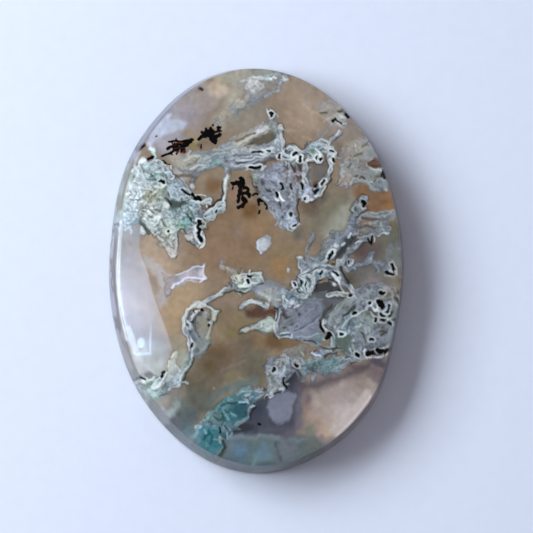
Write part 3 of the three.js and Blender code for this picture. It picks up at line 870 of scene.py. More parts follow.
MOSS_BASE = (132, 141, 151)
MOSS_PATCHES = [
    # The whole of the stone, in broad strokes
    spot(134, 194, 26, 12, (194, 203, 207)),
    spot(300, 122, 18, 8, (175, 157, 143)),
    spot(356, 150, 14, 6, (164, 158, 146)),
    spot(272, 172, 13, 8, (144, 152, 167)),
    spot(384, 219, 14, 6, (122, 132, 134)),
    spot(324, 366, 20, 6, (112, 138, 144)),
    spot(238, 394, 14, 6, (106, 140, 146)),
    spot(212, 440, 15, 8, (50, 115, 127)),
    # The haze at the top
    spot(255, 86, 10, 6, (176, 178, 178)),
    spot(270, 86, 6, 4, (134, 138, 136)),
    spot(272, 77, 6, 3, (150, 162, 164)),
    spot(240, 100, 8, 5, (174, 170, 160)),
    spot(224, 114, 8, 5, (160, 154, 140)),
    spot(246, 76, 6, 4, (172, 172, 170)),
    # The upper right
    spot(317, 122, 7, 5, (183, 171, 160)),
    spot(336, 114, 12, 7, (176, 176, 178)),
    spot(330, 107, 8, 5, (160, 158, 158)),
    # The cloud at the left
    spot(148, 172, 12, 7, (172, 187, 190)),
    spot(134, 176, 8, 5, (188, 199, 202)),
    spot(124, 208, 12, 6, (184, 198, 204)),
    spot(132, 218, 10, 6, (174, 189, 196)),
    spot(155, 213, 12, 7, (188, 194, 194)),
    spot(150, 223, 9, 6, (184, 195, 194)),
    spot(158, 176, 6, 4, (130, 160, 158)),
    spot(151, 196, 7, 4, (162, 164, 142)),
    spot(165, 191, 9, 5, (152, 164, 150)),
    spot(177, 190, 9, 5, (152, 166, 176)),
    spot(178, 208, 14, 7, (128, 147, 150)),
    spot(193, 205, 7, 5, (132, 153, 157)),
    spot(186, 221, 8, 5, (124, 154, 156)),
    spot(180, 226, 4, 3, (108, 146, 126)),
    spot(170, 234, 5, 4, (138, 168, 152)),
    spot(168, 227, 6, 4, (164, 180, 170)),
    spot(166, 240, 9, 6, (166, 169, 160)),
    spot(173, 250, 7, 5, (188, 186, 182)),
    spot(190, 233, 6, 4, (166, 170, 172)),
    spot(202, 224, 4, 3, (180, 186, 184)),
    spot(124, 222, 8, 6, (172, 184, 190)),
    spot(120, 196, 8, 6, (176, 190, 194)),
    spot(138, 207, 7, 5, (196, 208, 210)),
    spot(131, 201, 5, 4, (212, 224, 232)),
    spot(146, 206, 5, 4, (188, 196, 190)),
    spot(166, 202, 8, 8, (132, 144, 138)),
    spot(190, 210, 6, 5, (152, 174, 182)),
    # The band and the arch below it
    spot(206, 164, 8, 4, (136, 152, 158)),
    spot(217, 166, 7, 4, (116, 142, 146)),
    spot(180, 163, 9, 6, (163, 162, 151)),
    spot(200, 159, 9, 6, (156, 167, 172)),
    spot(222, 160, 8, 4, (122, 134, 142)),
    spot(240, 154, 18, 8, (148, 157, 168)),
    spot(246, 141, 10, 5, (160, 160, 152)),
    spot(263, 131, 10, 4, (185, 188, 192)),
    spot(175, 163, 6, 5, (172, 167, 155)),
    spot(190, 162, 8, 6, (168, 168, 160)),
    spot(216, 164, 6, 4, (128, 154, 158)),
    spot(232, 149, 8, 6, (152, 163, 169)),
    spot(240, 140, 7, 4, (178, 172, 160)),
    spot(252, 136, 5, 4, (193, 192, 188)),
    spot(275, 127, 6, 4, (148, 158, 156)),
    spot(280, 144, 8, 5, (168, 178, 186)),
    spot(274, 159, 6, 3, (142, 154, 164)),
    # The arch and the dendrites
    spot(213, 212, 9, 5, (148, 166, 174)),
    spot(226, 188, 5, 3, (184, 196, 196)),
    spot(229, 180, 4, 3, (176, 190, 188)),
    # The grey mass in the middle
    spot(292, 178, 10, 5, (142, 142, 150)),
    spot(254, 178, 5, 4, (141, 155, 150)),
    spot(262, 184, 4, 3, (112, 119, 122)),
    spot(283, 203, 12, 7, (139, 148, 161)),
    spot(288, 222, 10, 6, (156, 168, 185)),
    spot(274, 184, 7, 6, (150, 158, 172)),
    # The row of knobs and its loop
    spot(296, 156, 9, 5, (172, 186, 192)),
    spot(316, 153, 9, 4, (166, 186, 190)),
    spot(312, 151, 2.4, 2, (118, 146, 132)),
    spot(330, 172, 8, 5, (173, 179, 191)),
    spot(308, 190, 9, 5, (163, 170, 187)),
    spot(299, 176, 5, 4, (160, 152, 158)),
    spot(352, 170, 14, 8, (150, 154, 152)),
    spot(310, 161, 8, 4, (122, 130, 130)),
    spot(298, 161, 6, 4, (120, 126, 128)),
    # The web at the right
    spot(345, 180, 6, 4, (168, 158, 150)),
    spot(366, 164, 6, 4, (138, 132, 130)),
    spot(374, 178, 8, 5, (140, 150, 148)),
    # The hook and the ridges at the right
    spot(356, 208, 8, 5, (118, 127, 130)),
    spot(348, 226, 7, 5, (136, 145, 156)),
    spot(366, 226, 7, 4, (138, 132, 130)),
    spot(376, 234, 10, 4, (132, 140, 144)),
    spot(382, 220, 6, 4, (102, 108, 114)),
    # The net
    spot(318, 251, 10, 6, (120, 126, 124)),
    spot(312, 246, 4, 3, (112, 112, 94)),
    spot(324, 264, 8, 5, (106, 116, 127)),
    spot(322, 272, 8, 4, (124, 138, 151)),
    spot(308, 281, 6, 4, (110, 136, 144)),
    spot(303, 289, 5, 3, (98, 136, 138)),
    spot(310, 281, 6, 5, (98, 118, 130)),
    # The strands right of the net
    spot(394, 268, 5, 4, (90, 96, 100)),
    # The branch at the left
    spot(202, 274, 4, 3, (206, 204, 220)),
    spot(188, 277, 8, 5, (186, 182, 194)),
    spot(194, 273, 3.5, 2, (166, 160, 172)),
    spot(192, 282, 3, 2, (178, 172, 168)),
    spot(170, 286, 8, 5, (178, 174, 180)),
    # The knot, the lump and the hexagon
    spot(265, 288, 10, 5, (134, 144, 157)),
    spot(268, 297, 9, 6, (168, 174, 172)),
    spot(238, 279, 7, 4, (174, 182, 170)),
    spot(255, 278, 6, 4, (140, 157, 154)),
    spot(243, 289, 7, 3, (142, 160, 162)),
    spot(228, 268, 5, 3, (152, 142, 136)),
    spot(222, 292, 9, 4, (142, 150, 150)),
    spot(250, 304, 9, 4, (158, 166, 172)),
    spot(264, 245, 7, 3, (194, 203, 214)),
    spot(226, 268, 6, 5, (172, 164, 154)),
    # The loop
    spot(198, 305, 10, 5, (168, 171, 170)),
    spot(188, 320, 6, 4, (136, 148, 150)),
    spot(190, 334, 4, 4, (122, 136, 136)),
    spot(213, 316, 6, 4, (168, 174, 168)),
    spot(202, 325, 8, 5, (140, 138, 124)),
    spot(196, 324, 3, 3, (120, 124, 120)),
    spot(203, 342, 5, 3, (128, 140, 136)),
    spot(195, 344, 5, 4, (124, 132, 140)),
    spot(203, 350, 3.5, 3, (152, 166, 166)),
    spot(198, 349, 2.2, 2, (92, 98, 96)),
    spot(212, 330, 3, 3, (168, 164, 150)),
    spot(212, 339, 4, 3, (138, 144, 124)),
    spot(189, 333, 4, 3, (122, 134, 150)),
    spot(187, 370, 7, 4, (156, 168, 168)),
    # The ball and the post
    spot(267, 325, 9, 4, (166, 180, 174)),
    spot(248, 329, 6, 4, (160, 162, 154)),
    # The membrane
    spot(300, 296, 5, 3, (102, 124, 130)),
    spot(291, 300, 6, 4, (142, 163, 175)),
    spot(284, 296, 4, 3, (112, 140, 142)),
    spot(308, 318, 18, 8, (122, 129, 144)),
    spot(304, 326, 10, 6, (132, 141, 158)),
    spot(290, 322, 6, 4, (110, 120, 124)),
    spot(292, 332, 6, 3, (140, 149, 166)),
    spot(320, 343, 8, 3, (120, 144, 150)),
    spot(286, 292, 5, 4, (150, 164, 178)),
    # The mass at the right
    spot(334, 315, 12, 6, (128, 136, 142)),
    spot(342, 300, 10, 5, (116, 118, 116)),
    spot(350, 326, 8, 5, (112, 131, 143)),
    spot(342, 334, 5, 3, (120, 160, 168)),
    spot(366, 324, 10, 6, (126, 138, 143)),
    spot(366, 312, 5, 3, (104, 108, 96)),
    spot(364, 296, 12, 6, (142, 150, 159)),
    spot(386, 294, 8, 5, (130, 130, 124)),
    spot(388, 325, 10, 6, (116, 121, 126)),
    spot(376, 342, 12, 6, (112, 120, 130)),
    spot(336, 341, 5, 3, (126, 148, 152)),
    spot(382, 316, 7, 6, (84, 88, 88)),
    spot(370, 316, 5, 5, (104, 110, 112)),
    spot(394, 292, 6, 5, (100, 96, 90)),
    stroke([(366, 353), (378, 352), (388, 348)], 4, 4, (72, 74, 84)),
    # The teal sheet
    spot(350, 353, 9, 5, (109, 125, 132)),
    spot(320, 366, 6, 4, (100, 130, 132)),
    spot(318, 375, 8, 4, (112, 124, 134)),
    spot(318, 352, 7, 3, (154, 164, 178)),
    spot(300, 352, 8, 5, (128, 136, 134)),
    spot(346, 340, 5, 4, (74, 88, 90)),
    stroke([(346, 364), (358, 364), (370, 362)], 3, 4, (96, 98, 106)),
    # The arc
    spot(280, 360, 7, 4, (140, 145, 148)),
    spot(282, 377, 5, 4, (154, 164, 177)),
    spot(272, 385, 9, 5, (138, 148, 150)),
    spot(262, 380, 6, 4, (118, 128, 122)),
    spot(262, 377, 5, 5, (138, 142, 136)),
    spot(287, 377, 4, 4, (92, 100, 108)),
    spot(299, 377, 4, 4, (66, 70, 78)),
    # The lower left
    spot(150, 388, 12, 6, (163, 180, 178)),
    spot(167, 388, 7, 5, (138, 154, 162)),
    spot(172, 375, 3, 3, (166, 166, 178)),
    spot(163, 381, 3, 3, (188, 200, 202)),
    spot(178, 378, 6, 4, (166, 180, 185)),
    spot(156.5, 394.5, 2.4, 1.8, (150, 190, 186)),
    spot(172, 366, 6, 3, (204, 208, 202)),
    spot(170, 408, 10, 5, (146, 158, 160)),
    spot(162, 416, 8, 5, (160, 171, 184)),
    spot(154, 388, 8, 5, (136, 156, 158)),
    # The teal mass
    spot(206, 431, 5, 3, (66, 132, 147)),
    spot(197, 430, 6, 4, (84, 130, 144)),
    spot(228, 436, 5, 3, (74, 124, 136)),
    spot(194, 442, 5, 3, (92, 126, 136)),
    stroke([(226, 437), (236, 432)], 4, 4, (52, 82, 92)),
    # The dark hollow and the pink corner
    spot(250, 399, 8, 4, (84, 134, 146)),
    spot(232, 412, 15, 7, (46, 108, 118)),
    spot(212, 412, 8, 6, (98, 130, 128)),
    spot(226, 401, 7, 5, (96, 138, 142)),
    spot(208, 414, 9, 5, (96, 132, 134)),
    spot(250, 400, 7, 5, (68, 102, 118)),
]

# How a growth shows: softness of its edge, cover, pale rim (partly painted highlight), dark outline
# (painted shade), rise from ground to top, and how strong its grain and painted ridge and cleft lines are

Style = namedtuple("Style", "soft cover rim dark rise grain")
CRISP = Style(1.0, 1.0, 0.72, 0.38, 0.5, 1.15)
SOFT = Style(2.8, 0.92, 0.26, 0.12, 0.36, 0.95)
FAINT = Style(5.5, 0.55, 0.0, 0.0, 0.12, 0.6)
CLEAR = Style(1.4, 0.8, 0.75, 0.0, 0.4, 0.3)
TANGLED = Style(1.6, 0.75, 0.4, 0.22, 0.44, 1.0)
SHEET = Style(3.2, 0.9, 0.1, 0.05, 0.34, 0.3)
VEILED = Style(2.4, 0.92, 0.2, 0.1, 0.4, 0.4)
SMOOTH = Style(1.2, 0.92, 0.3, 0.0, 0.16, 0.1)


# Strands of moss: style, width and route in pixels

STRANDS = {
    "arch_rim": (SOFT, 6, [(207, 168), (214, 165), (220, 164), (225, 168), (229, 173), (227, 180),
                           (225, 187), (224, 193), (223, 199), (221, 203)]),
    "web_upright_a": (SOFT, 2.8, [(288.6, 162), (289.4, 172), (289.2, 182), (290, 192)]),
    "web_upright_b": (SOFT, 2.8, [(292.6, 164), (293.6, 174), (293.4, 184), (296, 193)]),
    "web_upright_c": (SOFT, 2.4, [(296.8, 164), (298, 170), (298.2, 175)]),
    "web_rung": (SOFT, 3.0, [(293, 175.8), (299, 174.6), (305, 172.6)]),
    "web_leaf": (SOFT, 3.0, [(296, 181), (296.8, 187), (298, 194)]),
    "web_low": (SOFT, 3, [(367, 184), (371, 188), (379, 190), (386, 189)]),
    "arch_leg": (CRISP, 3.2, [(227.6, 176), (226.6, 184), (225, 191), (223.6, 198), (221.4, 203)]),
    "arch_inner": (SOFT, 5, [(192, 183), (198, 173), (207, 167)]),
    "arch_left": (CRISP, 5, [(196, 198), (202, 201), (209, 200)]),
    "arch_foot": (CRISP, 5, [(206, 216), (212, 210), (219, 205), (224, 204)]),
    "arch_foot_under": (SOFT, 5, [(208, 220), (214, 215), (221, 211)]),
    "band_high": (SOFT, 4, [(196, 160), (212, 156), (228, 152), (244, 150), (256, 148)]),
    "band_mid": (SOFT, 4, [(198, 168), (214, 160), (232, 158), (250, 156)]),
    "band_low": (SOFT, 5, [(230, 166), (238, 163), (249, 165), (256, 168), (264, 167)]),
    "band_slit": (SOFT, 3, [(230, 160), (240, 158), (250, 157), (262, 157)]),
    "haze_streak": (FAINT, 4, [(259, 84), (252, 86), (249, 97), (243, 101), (232, 105), (222, 112),
                               (213, 120)]),
    "haze_side": (FAINT, 3, [(233, 72), (240, 84), (242, 92)]),
    "haze_low": (FAINT, 5, [(235, 137), (248, 135), (255, 130), (262, 124)]),
    "band_streak": (SOFT, 5, [(222, 147), (230, 143), (240, 141), (249, 138), (258, 134), (268, 128)]),
    "band_streak_high": (FAINT, 4, [(230, 138), (240, 134), (250, 131), (262, 126)]),
    "pink_loop": (FAINT, 3, [(284, 131), (292, 132), (299, 129), (302, 121), (300, 112)]),
    "pink_edge": (FAINT, 4, [(306, 104), (311, 111), (317, 119), (320, 129), (318, 139)]),
    "knot_tail": (FAINT, 4, [(331, 124), (326, 131), (322, 139)]),
    "top_loop": (SOFT, 3, [(266, 76), (271, 74), (278, 75), (284, 75), (288, 78), (283, 80), (279, 84),
                           (279, 90), (272, 94), (266, 97)]),
    "top_bar": (SOFT, 3, [(247, 79), (254, 77), (262, 79), (270, 79)]),
    "top_knot": (SOFT, 6, [(248, 86), (254, 82), (260, 86), (254, 92)]),
    "top_down": (FAINT, 7, [(256, 90), (248, 98), (238, 102), (228, 110), (218, 120)]),
    "top_side": (FAINT, 6, [(262, 97), (252, 104), (240, 108)]),
    "right_haze": (FAINT, 5, [(324, 108), (330, 103), (337, 99)]),
    "left_cone_line": (FAINT, 3, [(178, 232), (182, 240), (180, 248), (175, 256)]),
    "spine": (SOFT, 10, [(272, 118), (275, 127), (277, 132), (278, 138), (277, 143), (276, 149)]),
    "spine_edge": (CRISP, 3.5, [(281, 125), (281, 134), (283, 141), (283, 147), (286, 152), (289, 156)]),
    "spine_left": (SOFT, 6, [(244, 143), (252, 137), (258, 132), (264, 128), (269, 127)]),
    "spine_low": (SOFT, 6, [(248, 149), (258, 147), (266, 145), (273, 143)]),
    "spine_foot": (CRISP, 5, [(262, 152), (270, 149), (278, 151), (284, 155)]),
    "upper_row": (CRISP, 5, [(286, 150), (294, 148), (301, 152), (310, 148), (315, 144), (324, 142),
                             (328, 146)]),
    "upper_row_low": (CRISP, 5, [(288, 158), (296, 157), (303, 161), (310, 160), (320, 160)]),
    "upper_block": (CRISP, 9, [(310, 150), (316, 154), (318, 158)]),
    "upper_left_leg": (CRISP, 5, [(307, 158), (305, 164), (304, 170), (304, 177), (306, 184), (305, 191)]),
    "upper_cross": (SOFT, 4, [(292, 176), (299, 173), (305, 171)]),
    "upper_leg_a": (SOFT, 5, [(289, 164), (291, 177), (292, 193), (295, 203)]),
    "upper_leg_b": (SOFT, 5, [(296, 164), (296, 174), (298, 186), (300, 196)]),
    "upper_spur": (CRISP, 4, [(340, 132), (336, 136), (332, 140), (328, 144)]),
    "right_loop": (CRISP, 5.2, [(330, 158), (331, 167), (329, 174), (325, 181), (320, 188), (317, 194),
                                (311, 197)]),
    "right_loop_join": (CRISP, 7, [(306, 186), (309, 192), (311, 197)]),
    "right_knobs": (CRISP, 5, [(326, 148), (331, 151), (335, 153)]),
    "web_top": (SOFT, 3, [(340, 165), (346, 161), (353, 158), (361, 160)]),
    "web_edge": (CRISP, 2.6, [(366, 162), (368, 167.5), (374, 170.5), (381, 170)]),
    "web_white": (SOFT, 3.5, [(355, 183), (359, 180.5), (364, 181)]),
    "web_side": (FAINT, 3, [(377, 170), (380, 178), (386, 185)]),
    "hook_tip": (CRISP, 4, [(367, 197), (363, 197), (359, 200), (354, 205), (351.5, 211)]),
    "hook_back": (SOFT, 8, [(363, 203), (361, 209), (356, 215), (352, 221)]),
    "ridge_long": (SOFT, 5, [(398.5, 213), (393, 213), (381, 214), (370, 214), (365, 215), (358, 220),
                             (351.5, 225)]),
    "ridge_second": (SOFT, 5, [(375, 221), (371, 223), (365, 225), (361, 229), (356, 231.5)]),
    "ridge_white": (CRISP, 6, [(388.5, 229), (385, 232), (380, 233), (375, 235), (366, 238.5), (361.5, 239),
                               (358, 244), (354, 248), (347, 252), (345, 256), (342, 261.5)]),
    "ridge_small": (SOFT, 5, [(373, 232), (380, 229), (385, 228)]),
    "net_back": (SOFT, 5, [(351, 229), (345, 234), (338, 240), (330, 246), (322, 254), (314, 260),
                           (306, 268), (300, 275)]),
    "net_back_low": (SOFT, 5, [(352, 236), (343, 243), (336, 250), (328, 257), (320, 261), (312, 268)]),
    "net_loop": (SOFT, 5, [(312, 234), (311, 238.5), (308.5, 244), (307, 249), (306.5, 255), (308, 260)]),
    "net_loop_right": (SOFT, 3, [(323, 244), (322, 251), (318.5, 256), (312, 258)]),
    "net_finger": (CRISP, 7, [(300, 258), (301.5, 265), (305, 270)]),
    "net_ridge": (CRISP, 4, [(301.5, 275), (309, 271), (315, 266), (321, 263), (327, 262)]),
    "net_crest": (CRISP, 4, [(311, 274), (318.5, 269), (324, 269), (328, 272), (331.5, 275), (336, 279)]),
    "net_low": (CRISP, 5.5, [(319, 268.5), (328, 269), (335, 267), (339, 272), (342, 278), (346, 284),
                             (351, 288), (353, 291)]),
    "net_line": (CRISP, 2.8, [(333, 271), (338.5, 278.5), (339, 286), (345, 293), (353, 297)]),
    "teal_comb_a": (CRISP, 3.5, [(298, 279), (301, 285), (305, 290)]),
    "teal_comb_b": (CRISP, 3.5, [(303, 277), (307, 284), (310, 291)]),
    "teal_comb_c": (CRISP, 3.5, [(310, 275), (313, 282), (312, 290)]),
    "strand_right": (SOFT, 6, [(354, 267), (359, 265), (365, 263), (368.5, 260), (371, 254)]),
    "strand_branch": (SOFT, 5, [(369, 260), (374, 264), (378, 271)]),
    "strand_far": (SOFT, 5, [(376, 262), (381, 264), (386, 268.5), (391, 271)]),
    "ridge_lavender": (SOFT, 8, [(341, 265), (347, 268.5), (355, 270)]),
    "edge_band": (FAINT, 6, [(390, 247), (389, 256), (391, 264)]),
    "knot_top": (CRISP, 5, [(240, 276), (247, 275), (254, 275), (261, 274)]),
    "knot_mid": (CRISP, 5, [(234, 279), (240, 284), (248, 284), (257, 280)]),
    "knot_low": (CRISP, 4, [(236, 287), (243, 290), (251, 288)]),
    "hook_blob": (SOFT, 6, [(221, 262), (224, 267), (229, 270), (234, 272)]),
    "thin_left": (CRISP, 5, [(232, 286.5), (226, 289), (220, 293), (214, 298), (208, 301), (199, 307)]),
    "lump_strand": (CRISP, 5, [(241, 307), (244, 304), (250, 302.5), (256, 303), (262, 304.5), (266, 306)]),
    "ball_strand": (CRISP, 5, [(241, 331), (246, 329), (252, 327), (260, 325)]),
    "post": (CRISP, 5, [(284, 308), (279, 311), (278, 318), (277, 325), (276, 332)]),
    "post_bar": (CRISP, 3.5, [(277, 335), (283, 336), (290, 335.5)]),
    "loop_inner": (CRISP, 4, [(201, 311), (194, 314), (191, 319), (191, 327)]),
    "loop_left": (CRISP, 5, [(200, 303), (192, 307), (187, 312), (185, 319), (185, 327), (187, 335),
                             (190, 342), (191, 350), (192, 355)]),
    "loop_right": (CRISP, 4.5, [(202, 305), (208, 307), (213, 310), (215.5, 315), (214, 320), (211, 323)]),
    "loop_right_low": (SOFT, 3.5, [(211, 324), (210.5, 331), (210, 337)]),
    "loop_spike": (CRISP, 3, [(215, 314), (219.5, 311)]),
    "loop_tail": (SOFT, 7, [(191, 353), (190, 359), (187.5, 365), (183.5, 371), (180, 377), (177, 381)]),
    "low_left_a": (CRISP, 4, [(133, 378), (137, 383), (142, 389), (147, 394.5), (154, 397)]),
    "low_left_ray": (CRISP, 2.6, [(152, 388.5), (156, 383), (160, 378), (165, 371.5)]),
    "low_left_ray_b": (CRISP, 2.6, [(155.5, 389), (160, 384), (164, 379), (168, 373)]),
    "low_left_b": (SOFT, 4, [(170, 389), (172, 387), (177, 384.5), (181, 381), (184, 375)]),
    "low_left_c": (CRISP, 4, [(136, 379.5), (141, 381), (147, 382), (154, 378)]),
    "haze_left_low": (FAINT, 6, [(177, 398), (174, 410), (166, 420)]),
    "mass_strand": (CRISP, 6, [(328, 294), (335, 293), (342, 294), (350, 296), (354, 298)]),
    "mass_left": (SOFT, 7, [(350, 297), (345, 303), (338, 309), (333, 314), (329, 321)]),
    "mass_left_b": (SOFT, 6, [(356, 301), (350, 308), (344, 314), (338, 321)]),
    "mass_band": (CRISP, 7, [(368, 303), (362, 307), (357, 311), (352, 315), (345, 322), (340, 330)]),
    "mass_crest": (CRISP, 3, [(363, 308), (368, 306.5), (372, 307), (374, 310), (378, 310.5)]),
    "mass_knobs": (CRISP, 4, [(326, 321), (323, 325), (325, 329), (330, 334)]),
    "mass_vee": (CRISP, 5, [(330, 334), (334, 340), (333, 346)]),
    "mass_rim_top": (SOFT, 4, [(355, 292), (365, 287), (375, 285), (385, 286), (393, 290), (398, 300)]),
    "mass_rim_side": (SOFT, 4, [(398, 300), (400, 310), (397, 325), (394, 335), (391, 344)]),
    "mass_inner_a": (SOFT, 3.5, [(374, 322), (380, 328), (386, 334), (390, 340)]),
    "mass_inner_b": (SOFT, 3.5, [(360, 318), (366, 326), (370, 334), (376, 342)]),
    "mass_inner_c": (SOFT, 3.5, [(384, 316), (388, 322), (394, 326)]),
    "membrane_rim": (SOFT, 3.5, [(290, 338), (297, 338), (305, 341), (313, 344), (320, 345), (328, 347),
                                 (333, 347), (335, 341)]),
    "membrane_ray_a": (FAINT, 3, [(292, 322), (304, 318), (316, 322)]),
    "membrane_ray_b": (FAINT, 3, [(292, 330), (304, 330), (318, 336)]),
    "bar_white": (CRISP, 4, [(312, 353), (318, 355), (324, 353), (330, 350)]),
    "bar_right": (SOFT, 3.5, [(327, 352), (333, 353), (338, 350)]),
    "teal_band": (SOFT, 6, [(302, 366), (318, 363), (333, 363), (341, 358)]),
    "teal_band_low": (SOFT, 5, [(303, 373), (312, 371), (322, 373), (334, 372), (343, 366)]),
    "teal_end": (SOFT, 4, [(343, 367), (349, 362), (358, 360), (366, 356)]),
    "arc": (SOFT, 4.5, [(267, 366), (269, 361), (273, 358), (279, 357), (284, 355), (288, 361)]),
    "arc_leg": (SOFT, 4, [(281, 358), (284, 365), (284, 372), (281, 379), (277, 386), (272, 394)]),
    "arc_left": (SOFT, 4, [(267, 368), (268, 376), (271, 384), (268, 390)]),
    "teal_mass_top": (SOFT, 5, [(206, 424), (214, 412), (225, 402), (236, 394), (248, 389), (262, 390)]),
    "teal_mass_edge": (SOFT, 4, [(262, 396), (254, 401), (251, 408), (248, 417), (240, 424), (231, 430)]),
}


Mass = namedtuple("Mass", "style twigs width outline")

# Masses of moss: style, how many twigs tangle in it and their width, and its outline in pixels

